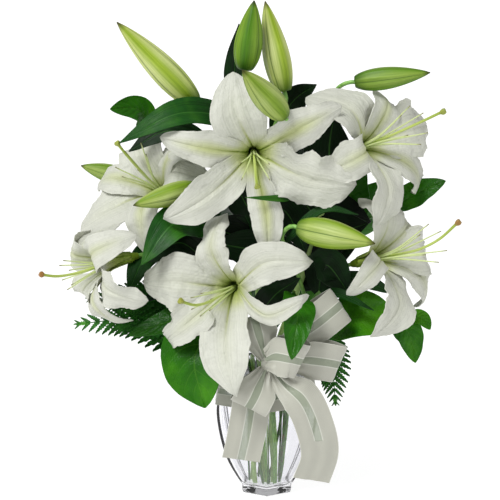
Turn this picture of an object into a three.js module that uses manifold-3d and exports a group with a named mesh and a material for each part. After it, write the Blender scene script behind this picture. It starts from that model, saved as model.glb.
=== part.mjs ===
// Six white Oriental lilies with their buds, lily leaves, salal and fern, standing in a small
// hexagonal glass vase that has an ivory bow tied round its neck. Millimetres, +Z up. The origin is
// the middle of the vase's base, and -Y is the front. Places are [x, y, z].
import * as THREE from "three";
import { mergeVertices } from "three/addons/utils/BufferGeometryUtils.js";
import Module from "manifold-3d";

const wasm = await Module();
wasm.setup();

// ---- Driving dimensions ----

const GAP = 0.35; // between pieces that touch in the real bouquet
const RIBBON_WIDTH = 38; // a standard 1 1/2 inch ribbon
const RIBBON_THICK = 0.8;
const PETAL_THICK = 1.2;
const LEAF_THICK = 0.9;
const GLASS_WALL = 4;
const GLASS_FLOOR = 10; // the solid block of glass under the stems
// The vase's outer corner radius at each height, from the base to the rim.
const VASE_OUTSIDE = [
  [27, 0], [28.5, 2], [29, 9], [37, 21], [46.5, 38], [54, 60], [58.5, 84], [58.5, 96],
  [54, 116], [48, 132], [46, 142], [49, 152],
];
const SIDES_OF_VASE = 6;
const BAND_HEIGHTS = [97, 106, 116, 125]; // the ribbon round the vase, from its lower to its upper edge
const STEM_FOOT = GLASS_FLOOR + GAP;
const NECK = 145; // the height at which the stems leave the vase

// ---- Small helpers ----

const vec = (place) => new THREE.Vector3(...place);
const unit = (place) => vec(place).normalize();
const mix = (a, b, t) => a + (b - a) * t;
const through = (...places) => new THREE.CatmullRomCurve3(places.map(vec), false, "centripetal");

// A closed geometry as a solid that can be joined and cut.
function solid(geometry) {
  geometry.deleteAttribute("normal");
  geometry.deleteAttribute("uv");
  const merged = mergeVertices(geometry, 1e-4);
  return new wasm.Manifold(
    new wasm.Mesh({
      numProp: 3,
      vertProperties: new Float32Array(merged.attributes.position.array),
      triVerts: new Uint32Array(merged.index.array),
    }),
  );
}

// The largest body of a solid, without the crumbs that a cut can leave.
function whole(made) {
  return made.decompose().reduce((best, body) => (body.volume() > best.volume() ? body : best));
}

const join = (...solids) => whole(solids.reduce((all, next) => all.add(next)));

// Cut off level, so that it stands on the vase's floor.
const standing = (made) => whole(made.trimByPlane([0, 0, 1], STEM_FOOT));

function geometryOf(made) {
  const { vertProperties, triVerts, numProp } = made.getMesh();
  const geometry = new THREE.BufferGeometry();
  const places = new THREE.InterleavedBuffer(vertProperties, numProp);
  geometry.setAttribute("position", new THREE.InterleavedBufferAttribute(places, 3, 0));
  geometry.setIndex(new THREE.BufferAttribute(triVerts, 1));
  geometry.computeVertexNormals();
  return geometry;
}

// A round closed bar along a curve; radiusAt(t) is its radius from t = 0 at the start to 1 at the end.
function bar(curve, radiusAt, sides, steps) {
  const geometry = new THREE.CylinderGeometry(1, 1, 1, sides, steps);
  const frames = curve.computeFrenetFrames(steps, false);
  const position = geometry.attributes.position;
  for (let i = 0; i < position.count; i++) {
    const t = 0.5 - position.getY(i);
    const ring = Math.round(t * steps);
    const radius = radiusAt(t);
    const place = curve
      .getPointAt(ring / steps)
      .addScaledVector(frames.normals[ring], position.getX(i) * radius)
      .addScaledVector(frames.binormals[ring], position.getZ(i) * radius);
    position.setXYZ(i, ...place);
  }
  return solid(geometry);
}

// A thin closed strip along a curve. sideAt(t, tangent) is the direction of its width, widthAt(t)
// the width, and liftAt(t, u) how far the surface stands off the curve at u, -1 to 1 across it.
function strip(curve, { sideAt, widthAt, liftAt = () => 0, thick, across, along }) {
  const geometry = new THREE.BoxGeometry(1, 1, 1, across, along, 1);
  const position = geometry.attributes.position;
  for (let i = 0; i < position.count; i++) {
    const t = position.getY(i) + 0.5;
    const u = position.getX(i) * 2;
    const tangent = curve.getTangentAt(t);
    const side = sideAt(t, tangent).clone();
    side.addScaledVector(tangent, -side.dot(tangent)).normalize();
    const up = side.clone().cross(tangent);
    const place = curve
      .getPointAt(t)
      .addScaledVector(side, (u * widthAt(t)) / 2)
      .addScaledVector(up, liftAt(t, u) + position.getZ(i) * thick);
    position.setXYZ(i, ...place);
  }
  return solid(geometry);
}

// ---- The vase and the bow ----

const HEX_TURN = Math.PI / 2; // a LatheGeometry stands along Y

function hexagonal(profile) {
  const points = profile.map(([radius, height]) => new THREE.Vector2(radius, height));
  return solid(new THREE.LatheGeometry(points, SIDES_OF_VASE).rotateX(HEX_TURN));
}

// The vase's outer corner radius at a height.
function outsideAt(height) {
  const next = VASE_OUTSIDE.findIndex(([, z]) => z >= height);
  const [r1, z1] = VASE_OUTSIDE[next];
  const [r0, z0] = VASE_OUTSIDE[Math.max(next - 1, 0)];
  return z1 === z0 ? r1 : mix(r0, r1, (height - z0) / (z1 - z0));
}

function vase() {
  const inside = VASE_OUTSIDE.filter(([, z]) => z > GLASS_FLOOR)
    .map(([radius, z]) => [radius - GLASS_WALL, z])
    .reverse();
  return hexagonal([[0, 0], ...VASE_OUTSIDE, ...inside, [24, GLASS_FLOOR], [0, GLASS_FLOOR]]);
}

const BAND_CLEAR = 0.7; // from the corners of the vase, so that the band clears its flat sides too

function ribbonBand() {
  const inner = BAND_HEIGHTS.map((z) => [outsideAt(z) + BAND_CLEAR, z]);
  const outer = inner.map(([radius, z]) => [radius + RIBBON_THICK * 1.2, z]);
  return hexagonal([...outer, ...inner.reverse(), outer[0]]);
}

const KNOT = [2, -69, 148];
const KNOT_SIZE = [10, 7, 11]; // half its width, depth and height
const KNOT_LINK = [[0, -59.8, 118], [1, -61, 130], [2, -65, 143]]; // the gather from the band up to the knot

// The knot, or the room that it takes up with a margin round it.
function ribbonKnot(margin = 0) {
  const size = KNOT_SIZE.map((half) => half + margin);
  const ball = solid(new THREE.SphereGeometry(1, 10, 8).scale(...size).translate(...KNOT));
  const link = bar(through(...KNOT_LINK), (t) => mix(5, 4, t) + margin, 6, 3);
  return join(ball, link);
}

// A loop of ribbon from the knot out to its far fold and back: where in the knot it starts, the
// ribbon's width direction at the fold, and how far each layer stands off the loop's middle.
const LOOPS = {
  ribbon_loop_upper_right: { root: [6, -66, 153], fold: [72, -46, 203], side: [0.54, 0, -0.84], puff: 8 },
  ribbon_loop_lower_right: { root: [6, -69, 147], fold: [69, -66, 145], side: [-0.38, 0, -0.92], puff: 8 },
  ribbon_loop_front: { root: [4, -73, 149], fold: [33, -98, 162], side: [-0.35, 0.25, -0.9], puff: 6 },
  ribbon_loop_left: { root: [-2, -68, 153], fold: [-14, -60, 194], side: [1, 0.1, 0.1], puff: 6 },
  ribbon_loop_low: { root: [-2, -70, 143], fold: [-19, -86, 109], side: [0.8, 0, -0.6], puff: 5 },
};
const LOOP_MOUTH = 1.6; // half the distance between a loop's two layers at the knot

function ribbonLoop({ root, fold, side, puff }) {
  const start = vec(root);
  const far = vec(fold);
  const out = far.clone().sub(start).normalize();
  const across = vec(side).addScaledVector(out, -vec(side).dot(out)).normalize();
  const face = across.clone().cross(out);
  const layer = (share, stand) => start.clone().lerp(far, share).addScaledVector(face, stand);
  const curve = new THREE.CatmullRomCurve3(
    [
      layer(0, LOOP_MOUTH), layer(0.35, puff * 0.8), layer(0.78, puff), far,
      layer(0.78, -puff), layer(0.35, -puff * 0.8), layer(0, -LOOP_MOUTH),
    ],
    false,
    "centripetal",
  );
  const gathered = (t) => Math.min(1, 0.2 + 2.6 * Math.min(t, 1 - t));
  const loop = strip(curve, {
    sideAt: () => across,
    widthAt: (t) => RIBBON_WIDTH * gathered(t),
    thick: RIBBON_THICK,
    across: 1,
    along: 12,
  });
  return whole(loop.subtract(ribbonKnot(GAP)));
}

// The two tails: the middle line of each, and the ribbon's width direction at its top and bottom.
const TAILS = {
  ribbon_tail_left: {
    line: [[-1, -68, 142], [-9, -68, 130], [-14, -67, 116], [-17, -66, 98], [-21, -65, 74], [-26, -62, 50]],
    sides: [[1, 0, -0.3], [1, 0.15, -0.22]],
  },
  ribbon_tail_right: {
    line: [[5, -72, 143], [17, -82, 131], [33, -87, 118], [45, -84, 92], [51, -77, 60], [43, -71, 32]],
    sides: [[0.55, 0, 0.8], [1, 0.25, -0.1]],
  },
};

function ribbonTail({ line, sides }) {
  const [top, bottom] = sides.map(unit);
  const tail = strip(through(...line), {
    sideAt: (t) => top.clone().lerp(bottom, Math.min(1, 2 * t)),
    widthAt: (t) => RIBBON_WIDTH * Math.min(1, 0.2 + 3 * t),
    thick: RIBBON_THICK,
    across: 1,
    along: 10,
  });
  return whole(tail.subtract(ribbonKnot(GAP)));
}

// ---- The lilies ----

// Each flower: the receptacle that its petals grow from, the way it faces, the tip of its pistil
// and how far its filaments spread. A petal is its turn round the flower in degrees, from the right
// towards the top as it faces the viewer; how far its tip reaches out from the flower's axis; how
// far the tip lies ahead of the throat; and its greatest width.
const FLOWERS = {
  top: {
    centre: [-14, 8, 350], faces: [0.02, -0.99, -0.08], pistil: [-10, -85, 323], spread: 17,
    inner: [[104, 83, 4, 58], [345, 104, 6, 58], [214, 107, 30, 52]],
    outer: [[30, 98, 12, 36], [277, 105, 10, 36], [169, 93, 10, 34]],
  },
  front: {
    centre: [-27, -15, 216], faces: [-0.32, -0.93, 0.1], pistil: [-83, -112, 220], spread: 11,
    inner: [[19, 88, 8, 56], [180, 85, 16, 56], [284, 103, 44, 54]],
    outer: [[113, 67, -6, 34], [225, 83, 30, 36], [0, 89, 34, 32]],
  },
  right: {
    centre: [77, 15, 343], faces: [0.7, -0.62, 0.35], pistil: [170, -44, 392], spread: 20,
    inner: [[119, 71, -22, 54], [7, 91, 16, 54], [252, 86, 8, 52]],
    outer: [[55, 71, 0, 34], [319, 79, 4, 36], [195, 68, 0, 36]],
  },
  low_right: {
    centre: [90, -8, 237], faces: [0.68, -0.62, 0.33], pistil: [184, -62, 288], spread: 20,
    inner: [[85, 62, -4, 46], [352, 66, 6, 48], [238, 88, 6, 48]],
    outer: [[35, 67, -6, 32], [309, 74, 0, 34], [212, 54, -4, 30]],
  },
  left: {
    centre: [-93, 33, 289], faces: [-0.55, -0.55, 0.62], pistil: [-146, -34, 360], spread: 20,
    inner: [[130, 66, 12, 50], [226, 93, 14, 50], [22, 50, -10, 40]],
    outer: [[190, 76, 14, 34], [291, 76, -2, 36], [56, 60, -6, 34]],
  },
  far_left: {
    centre: [-135, -10, 243], faces: [-0.86, -0.45, -0.12], pistil: [-221, -54, 234], spread: 14,
    inner: [[100, 38, -20, 42], [343, 84, -6, 44], [263, 74, 0, 44]],
    outer: [[38, 50, -14, 32], [296, 60, 0, 32], [168, 55, 0, 32]],
  },
};
const THROAT = { forward: 28, wide: 9 }; // the trumpet that the petals make before they flare
const RECEPTACLE = { length: 7, radius: 5.5 };
const PETAL_ROOT = 4.3; // the petals' distance from the flower's axis at the receptacle
const LONG_REACH = 95; // a petal that reaches less far out than this stands further forward instead

// A flower's own directions: out of its face, to its right and to its top.
function directions({ faces }) {
  const axis = unit(faces);
  const right = new THREE.Vector3(0, 0, 1).cross(axis).normalize();
  return { axis, right, top: axis.clone().cross(right) };
}

// A petal's width along its length, as a share of its widest.
const petalWidth = (t) => Math.max(0.05, 0.07 * (1 - t) + Math.sin(Math.PI * t ** 1.3) ** 1.05);

function petal(flower, [turn, reach, tip, width]) {
  const { axis, right, top } = directions(flower);
  const angle = THREE.MathUtils.degToRad(turn);
  const out = right.multiplyScalar(Math.cos(angle)).addScaledVector(top, Math.sin(angle));
  const at = (outward, forward) =>
    vec(flower.centre).addScaledVector(out, outward).addScaledVector(axis, forward);
  const crest = THROAT.forward + 15 + 0.45 * tip + 0.25 * Math.max(0, LONG_REACH - reach);
  const places = [
    at(PETAL_ROOT, 0), at(THROAT.wide, THROAT.forward), at(0.55 * reach, crest),
    at(reach, THROAT.forward + tip),
  ];
  const side = out.clone().cross(axis);
  return strip(new THREE.CatmullRomCurve3(places, false, "centripetal"), {
    sideAt: () => side,
    widthAt: (t) => width * petalWidth(t),
    liftAt: (t, u) => mix(0.26, -0.1, Math.sqrt(t)) * width * petalWidth(t) * u * u,
    thick: PETAL_THICK,
    across: 2,
    along: 6,
  });
}

// The ovary, the long style with its three-lobed stigma, and six filaments round it.
function pistil(flower) {
  const { axis, right, top } = directions(flower);
  const root = vec(flower.centre).addScaledVector(axis, 2 + GAP);
  const end = vec(flower.pistil);
  const bend = root.clone().addScaledVector(axis, 0.55 * end.distanceTo(root));
  const style = new THREE.QuadraticBezierCurve3(root, bend, end);
  const profile = (t) => (t < 0.24 ? 2.6 : t > 0.93 ? 3 : 1.3);
  const filaments = [0, 1, 2, 3, 4, 5].map((i) => {
    const turn = (i + 0.5) * (Math.PI / 3);
    const out = right.clone().multiplyScalar(Math.cos(turn)).addScaledVector(top, Math.sin(turn));
    const away = (share, distance) => style.getPoint(share).addScaledVector(out, distance);
    const curve = new THREE.CatmullRomCurve3([away(0.02, 1.5), away(0.35, 4), away(0.72, flower.spread)]);
    return bar(curve, () => 0.9, 3, 2);
  });
  return join(bar(style, profile, 5, 5), ...filaments);
}

function perianth(flower) {
  const axis = unit(flower.faces);
  const along = (distance) => vec(flower.centre).addScaledVector(axis, distance);
  const receptacle = bar(
    new THREE.LineCurve3(along(-RECEPTACLE.length), along(2)),
    (t) => mix(3.5, RECEPTACLE.radius, t),
    8,
    1,
  );
  return join(receptacle, ...[...flower.inner, ...flower.outer].map((row) => petal(flower, row)));
}

// Closed buds: base, tip and greatest width.
const BUDS = {
  upper_left: { base: [-71, 6, 395], tip: [-147, 2, 474], width: 28 },
  top_left: { base: [-22, 0, 428], tip: [-13, -5, 495], width: 27 },
  top_right: { base: [17, 12, 406], tip: [-2, 14, 494], width: 26 },
  centre: { base: [15, -46, 387], tip: [-24, -90, 433], width: 26 },
  right: { base: [87, 14, 415], tip: [160, 2, 425], width: 22 },
  far_left: { base: [-142, 64, 312], tip: [-191, 60, 326], width: 19 },
  left: { base: [-70, -25, 315], tip: [-130, -44, 300], width: 22 },
  front_right: { base: [30, -56, 280], tip: [101, -88, 270], width: 28 },
};
// A bud's thickness along its length, as a share of its widest: blunt at the stalk, long at the tip.
const budShape = (t) => Math.max(0.08, Math.sin(Math.PI * Math.min(1, 0.1 + 0.9 * t)) ** 0.72 * (1.08 - 0.2 * t));

function bud({ base, tip, width }) {
  return bar(new THREE.LineCurve3(vec(base), vec(tip)), (t) => (width / 2) * budShape(t), 8, 7);
}

// ---- Stems ----

// The last two points of a stalk, so that it meets squarely what it bears.
const meeting = (place, direction, off) =>
  [off + 8, off].map((distance) => vec(place).addScaledVector(direction, -distance).toArray());
const behind = ({ centre, faces }) => meeting(centre, unit(faces), RECEPTACLE.length + GAP);
const below = ({ base, tip }) => meeting(base, vec(tip).sub(vec(base)).normalize(), GAP);

// The straight part of a stem inside the vase, from its foot to the neck.
const inVase = ([footX, footY], [neckX, neckY]) =>
  [0, 0.5, 1].map((t) => [mix(footX, neckX, t), mix(footY, neckY, t), mix(STEM_FOOT - 3, NECK, t)]);

// Each lily stem: the points it passes, the stalks that leave it, and the leaves on its far side.
const LILY_STEMS = {
  top: {
    line: [...inVase([-11, -11.5], [-12.5, 3.5]), [-7, 26, 230], [-8, 32, 300], [-9, 30, 335]],
    stalks: [
      [[-9, 30, 328], [-12, 28, 344], ...behind(FLOWERS.top)],
      [[-9, 30, 330], [-16, 22, 385], ...below(BUDS.top_left)],
      [[-9, 30, 332], [8, 32, 370], ...below(BUDS.top_right)],
      [[-9, 30, 332], [12, 24, 366], [12, -4, 390], [18, -28, 391], ...below(BUDS.centre)],
    ],
    leaves: [
      [[-7, 28, 246], [-30, 62, 276], [-52, 84, 266], 30, [0, 0.6, 0.8]],
      [[-8, 31, 306], [10, 66, 338], [28, 88, 330], 28, [0, 0.6, 0.8]],
      [[-9, 30, 330], [-26, 60, 366], [-42, 76, 388], 26, [0, 0.8, 0.6]],
      [[-7, 26, 236], [-34, 30, 258], [-62, 24, 268], 34, [0, -0.9, 0.4]],
      [[-7, 28, 252], [16, 34, 278], [44, 30, 290], 34, [0, -0.9, 0.4]],
      [[-8, 30, 268], [-26, 40, 298], [-38, 34, 330], 32, [0, -1, 0.1]],
    ],
  },
  front: {
    line: [...inVase([6.5, -11], [-1.5, -20]), [-14, -6, 190], [-21, 2, 212]],
    stalks: [[[-20, 1, 208], [-23, 2, 218], ...behind(FLOWERS.front)]],
    leaves: [[[-11, -10, 180], [9, 22, 196], [14, 58, 188], 20, [0, 0.5, 0.85]]],
  },
  right: {
    line: [...inVase([-13.5, 2], [10, 5.5]), [40, 20, 230], [60, 22, 300], [66, 16, 325]],
    stalks: [
      [[65, 18, 318], [70, 12, 336], ...behind(FLOWERS.right)],
      [[65, 18, 320], [60, 36, 370], [68, 28, 404], ...below(BUDS.right)],
    ],
    leaves: [
      [[61, 21, 304], [84, 52, 332], [110, 64, 354], 26, [0, 0.8, 0.6]],
      [[30, 17, 204], [52, 36, 234], [84, 38, 240], 36, [0, -0.9, 0.4]],
      [[36, 19, 220], [14, 20, 236], [-8, 2, 246], 32, [0, -0.9, 0.4]],
      [[50, 21, 270], [76, 36, 276], [106, 32, 272], 34, [0, -0.9, 0.4]],
      [[52, 21, 272], [36, 30, 300], [34, 24, 330], 30, [0, -1, 0.1]],
    ],
  },
  low_right: {
    line: [...inVase([12, 2.5], [24.5, -4]), [46, -2, 195], [60, 0, 215]],
    stalks: [
      [[58, 0, 211], [74, -1, 228], ...behind(FLOWERS.low_right)],
      [[42, -3, 189], [26, -22, 240], [14, -44, 270], ...below(BUDS.front_right)],
    ],
    leaves: [[[48, -2, 198], [74, 32, 212], [104, 52, 198], 24, [0, 0.5, 0.85]]],
  },
  left: {
    line: [...inVase([3, -3], [-6, -8]), [-46, 8, 210], [-72, 16, 254]],
    stalks: [
      [[-71, 16, 250], [-84, 18, 276], ...behind(FLOWERS.left)],
      [[-71, 16, 250], [-95, 22, 250], ...behind(FLOWERS.far_left)],
      [[-71, 16, 250], [-52, 27, 330], [-54, 14, 378], ...below(BUDS.upper_left)],
      [[-71, 16, 250], [-100, 54, 288], ...below(BUDS.far_left)],
      [[-71, 16, 250], [-56, 4, 280], [-52, -16, 306], ...below(BUDS.left)],
    ],
    leaves: [
      [[-56, 11, 226], [-84, 42, 250], [-116, 56, 240], 26, [0, 0.6, 0.8]],
      [[-70, 16, 250], [-58, 50, 288], [-66, 74, 314], 26, [0, 0.8, 0.6]],
      [[-46, 8, 210], [-74, 32, 222], [-104, 36, 222], 34, [0, -0.9, 0.4]],
    ],
  },
};
const STEM_RADIUS = { foot: 3.8, top: 3, stalk: 2.1 };

// A lily stem with its stalks, or the room that they take up with a margin round them.
function lilyStalks({ line, stalks }, margin = 0) {
  const main = bar(through(...line), (t) => mix(STEM_RADIUS.foot, STEM_RADIUS.top, t) + margin, 6, 8);
  const branches = stalks.map((stalk) => bar(through(...stalk), () => STEM_RADIUS.stalk + margin, 5, 4));
  return join(main, ...branches);
}

// ---- Leaves ----

// A leaf: from its root through its middle to its tip, its width, and the way its upper face looks.
const leafWidth = (t) => Math.max(0.05, 0.1 * (1 - t) + Math.sin(Math.PI * t ** 0.85) ** 0.9);
const broadWidth = (t) => (t < 0.14 ? 0.07 : Math.max(0.05, Math.sin(Math.PI * ((t - 0.1) / 0.9) ** 0.8) ** 0.75));

function leaf([root, middle, tip, width, face], shape = leafWidth) {
  const facing = unit(face);
  return strip(through(root, middle, tip), {
    sideAt: (t, tangent) => tangent.clone().cross(facing),
    widthAt: (t) => width * shape(t),
    liftAt: (t, u) => 0.09 * width * shape(t) * u * u,
    thick: LEAF_THICK,
    across: 2,
    along: 6,
  });
}

const lilyStem = (row) => standing(join(lilyStalks(row), ...row.leaves.map((each) => leaf(each))));

const LILY_LEAVES = {
  upper_left: [[-14, 24, 374], [-85, -30, 388], [-143, -38, 360], 30, [0.1, -0.8, 0.6]],
  upper_left_low: [[-53, 21, 352], [-100, 16, 366], [-138, 12, 346], 24, [0, -0.8, 0.5]],
  top_back: [[-14, 27, 360], [-32, 26, 420], [-28, 20, 472], 22, [-0.3, -0.9, 0]],
  top_right: [[5, 32, 362], [28, 34, 396], [49, 20, 412], 28, [0.2, -0.9, 0.3]],
  between: [[62, 22, 316], [54, 10, 352], [60, -4, 382], 24, [-0.2, -0.95, 0]],
  round_dark: [[41, 20, 232], [68, 8, 262], [100, -10, 277], 40, [-0.2, -0.8, 0.5]],
  narrow_right: [[17, -38, 262], [54, -44, 296], [88, -45, 291], 11, [0, -0.6, 0.8]],
  centre: [[-8, 31, 286], [14, -4, 292], [30, -28, 266], 20, [0.4, -0.9, 0.1]],
  under_top: [[-8, 32, 310], [18, -34, 306], [-21, -60, 310], 9, [0, -0.9, 0.4]],
  left_front: [[-60, 10, 262], [-84, -38, 272], [-118, -58, 242], 22, [0, -0.85, 0.4]],
  left_dark: [[-62, 12, 236], [-88, -12, 258], [-117, -35, 243], 32, [0.1, -0.8, 0.5]],
  far_left: [[-90, 21, 250], [-112, -4, 234], [-132, -34, 212], 16, [-0.2, -0.85, 0.4]],
  left_low: [[-47, 8, 210], [-88, -2, 214], [-126, -14, 198], 22, [0, -0.8, 0.6]],
  centre_right: [[51, -1, 202], [58, -14, 236], [84, -24, 205], 34, [-0.1, -0.9, 0.4]],
  right_low: [[40, -3, 182], [64, -31, 211], [104, -48, 197], 12, [0, -0.6, 0.8]],
  centre_low: [[-11, -10, 178], [8, -26, 208], [32, -32, 226], 28, [0, -0.9, 0.4]],
  right_middle: [[70, -1, 224], [98, -12, 219], [126, -22, 208], 17, [0, -0.7, 0.7]],
};

// Sprigs of salal: the woody stem and its broad leaves.
const SALAL = {
  low_left: {
    line: [...inVase([-1, -11.5], [-19.5, -12]), [-42, -20, 182], [-48, -22, 196]],
    leaves: [
      [[-42, -20, 182], [-66, -54, 152], [-61, -60, 102], 60, [-0.2, -1, 0.15]],
      [[-47, -22, 194], [-95, -36, 184], [-136, -40, 170], 28, [0, -0.7, 0.7]],
    ],
  },
  front: {
    line: [...inVase([12, -7], [18, -15]), [22, -30, 190], [26, -38, 214]],
    leaves: [[[26, -38, 213], [42, -74, 208], [34, -112, 169], 34, [0.2, -0.9, 0.5]]],
  },
  right: {
    line: [...inVase([-4, 13.5], [26, 3.5]), [62, 8, 172], [112, 6, 184], [146, 6, 178]],
    leaves: [
      [[56, 7, 168], [94, -22, 186], [134, -28, 178], 56, [0, -0.75, 0.65]],
      [[120, 6, 184], [142, -2, 165], [150, -6, 134], 30, [0.3, -0.9, 0.2]],
      [[142, 6, 179], [156, 3, 178], [165, 0, 167], 17, [0.3, -0.8, 0.5]],
      [[80, 8, 177], [96, 48, 180], [116, 70, 158], 46, [0, 0.7, 0.7]],
    ],
  },
  far_right: {
    line: [...inVase([9.5, 14], [8.5, 13.5]), [56, 52, 220], [98, 50, 268], [126, 28, 286]],
    leaves: [
      [[122, 31, 284], [156, 28, 304], [180, 24, 315], 27, [0.1, -0.8, 0.5]],
      [[92, 51, 262], [86, 42, 300], [98, 34, 330], 40, [0, -1, 0.1]],
      [[60, 52, 224], [54, 80, 232], [66, 94, 206], 48, [0, 0.8, 0.6]],
      [[84, 52, 252], [112, 72, 286], [136, 70, 308], 44, [0.2, 0.8, 0.5]],
    ],
  },
  upper_left: {
    line: [...inVase([3, 17.5], [-8, 18.5]), [-62, 52, 230], [-112, 74, 316], [-120, 72, 364]],
    leaves: [
      [[-119, 72, 358], [-128, 54, 384], [-158, 38, 388], 32, [0.2, -0.9, 0.4]],
      [[-100, 66, 292], [-126, 88, 286], [-154, 92, 270], 48, [-0.3, 0.8, 0.5]],
      [[-52, 39, 216], [-64, 70, 218], [-80, 86, 190], 50, [-0.2, 0.8, 0.5]],
      [[-30, 24, 180], [-20, 60, 180], [-26, 84, 156], 46, [0.1, 0.8, 0.5]],
    ],
  },
};
const SALAL_RADIUS = 1.7;

function sprig({ line, leaves }) {
  const stem = bar(through(...line), () => SALAL_RADIUS, 5, 8);
  return standing(join(stem, ...leaves.map((row) => leaf(row, broadWidth))));
}

// Fern fronds: the points that the stalk passes, and the width of the feathered part, which starts
// where the stalk has left the vase.
const FERNS = {
  left: {
    line: [...inVase([-18, -3.5], [-13, 12.5]), [-72, -2, 170], [-130, 2, 179], [-194, 6, 175]],
    width: 52,
  },
  left_upper: {
    line: [...inVase([-10.5, 16], [-15.5, 22.5]), [-84, 22, 193], [-130, 10, 203], [-178, 4, 203]],
    width: 46,
  },
  right: {
    line: [...inVase([-15.5, 8], [19.5, 23]), [52, 24, 162], [72, 6, 135], [77, -4, 92]],
    width: 34,
  },
};
const FERN_STALK = 1.2;
const FERN_PINNAE = 7;

// The frond's feathered part is a blade whose edge steps in and out once for each pair of pinnae.
function frond({ line, width }) {
  const stalk = bar(through(...line.slice(0, 4)), () => FERN_STALK, 4, 7);
  const feather = strip(through(...line.slice(3)), {
    sideAt: (t, tangent) => tangent.clone().cross(new THREE.Vector3(0, -0.6, 0.8)),
    widthAt: (t) => width * mix(1, 0.12, t) * (Math.round(t * 2 * FERN_PINNAE) % 2 ? 1 : 0.45),
    thick: LEAF_THICK,
    across: 1,
    along: 2 * FERN_PINNAE,
  });
  return standing(join(stalk, feather));
}

// ---- The whole bouquet ----

const MATERIALS = {
  glass: { color: "#dfe4ea", roughness: 0.05, transparent: true, opacity: 0.35 },
  petal: { color: "#ecece4", roughness: 0.6 },
  pistil: { color: "#b9c46a", roughness: 0.5 },
  bud: { color: "#8bb03c", roughness: 0.5 },
  stem: { color: "#4f8a3a", roughness: 0.5 },
  lilyLeaf: { color: "#1d5a24", roughness: 0.4 },
  salal: { color: "#2f7a18", roughness: 0.35 },
  fern: { color: "#2a6a24", roughness: 0.6 },
  ribbon: { color: "#d9d6c6", roughness: 0.45 },
};

// The room round every lily stem, which the foot of a leaf that grows on one keeps clear of.
const STALK_ROOM = Object.values(LILY_STEMS)
  .map((row) => lilyStalks(row, GAP))
  .reduce((all, next) => all.add(next));

const bouquet = new THREE.Group();

function add(name, made, finish) {
  const material = new THREE.MeshStandardMaterial({ metalness: 0, ...MATERIALS[finish] });
  const mesh = new THREE.Mesh(geometryOf(made), material);
  mesh.name = name;
  bouquet.add(mesh);
}

const addEach = (prefix, table, make, finish) =>
  Object.entries(table).forEach(([name, row]) => add(prefix + name, make(row), finish));

add("vase", vase(), "glass");
add("ribbon_band", ribbonBand(), "ribbon");
add("ribbon_knot", ribbonKnot(), "ribbon");
addEach("", LOOPS, ribbonLoop, "ribbon");
addEach("", TAILS, ribbonTail, "ribbon");
addEach("lily_stem_", LILY_STEMS, lilyStem, "stem");
addEach("perianth_", FLOWERS, perianth, "petal");
addEach("pistil_", FLOWERS, pistil, "pistil");
addEach("bud_", BUDS, bud, "bud");
addEach("lily_leaf_", LILY_LEAVES, (row) => whole(leaf(row).subtract(STALK_ROOM)), "lilyLeaf");
addEach("salal_", SALAL, sprig, "salal");
addEach("fern_", FERNS, frond, "fern");

export default bouquet;
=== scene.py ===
"""Six white Oriental lilies with their buds, lily leaves, salal and fern, in a small hexagonal glass
vase with an ivory bow.

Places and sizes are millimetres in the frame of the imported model, with +Z up and -Y the front. The
studio, its lamps and its camera are in metres.
"""

import math
from bisect import bisect_left

import bmesh
import bpy
from mathutils import Euler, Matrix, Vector, noise


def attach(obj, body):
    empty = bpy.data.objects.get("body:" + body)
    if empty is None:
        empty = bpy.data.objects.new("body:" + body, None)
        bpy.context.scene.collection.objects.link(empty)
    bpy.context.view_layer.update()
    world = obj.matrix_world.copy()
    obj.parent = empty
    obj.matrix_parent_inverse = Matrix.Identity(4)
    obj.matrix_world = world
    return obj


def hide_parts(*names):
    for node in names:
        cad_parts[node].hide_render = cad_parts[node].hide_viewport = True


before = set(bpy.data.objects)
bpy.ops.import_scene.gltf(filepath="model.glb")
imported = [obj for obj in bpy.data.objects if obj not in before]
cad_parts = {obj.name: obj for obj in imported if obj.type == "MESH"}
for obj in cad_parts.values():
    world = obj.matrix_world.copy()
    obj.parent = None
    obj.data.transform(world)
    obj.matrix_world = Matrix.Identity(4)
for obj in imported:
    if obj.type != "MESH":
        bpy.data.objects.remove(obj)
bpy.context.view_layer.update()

MM = 0.001

# ---- Numbers and lines ----


def mix(a, b, t):
    return a + (b - a) * t


def rise(low, high, x):
    """0 below low, 1 above high, and a smooth step between."""
    t = min(1, max(0, (x - low) / (high - low)))
    return t * t * (3 - 2 * t)


def hump(x, spread):
    return math.exp(-((x / spread) ** 2))


def centripetal(a, b, c, d, t):
    """The point at t from b to c on the centripetal line through a, b, c and d."""
    before, gap, after = (max(math.sqrt((q - p).length), 1e-4) for p, q in ((a, b), (b, c), (c, d)))
    leave = ((b - a) / before - (c - a) / (before + gap) + (c - b) / gap) * gap
    arrive = ((c - b) / gap - (d - b) / (gap + after) + (d - c) / after) * gap
    return b + leave * t + (3 * (c - b) - 2 * leave - arrive) * t**2 + (2 * (b - c) + leave + arrive) * t**3


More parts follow.
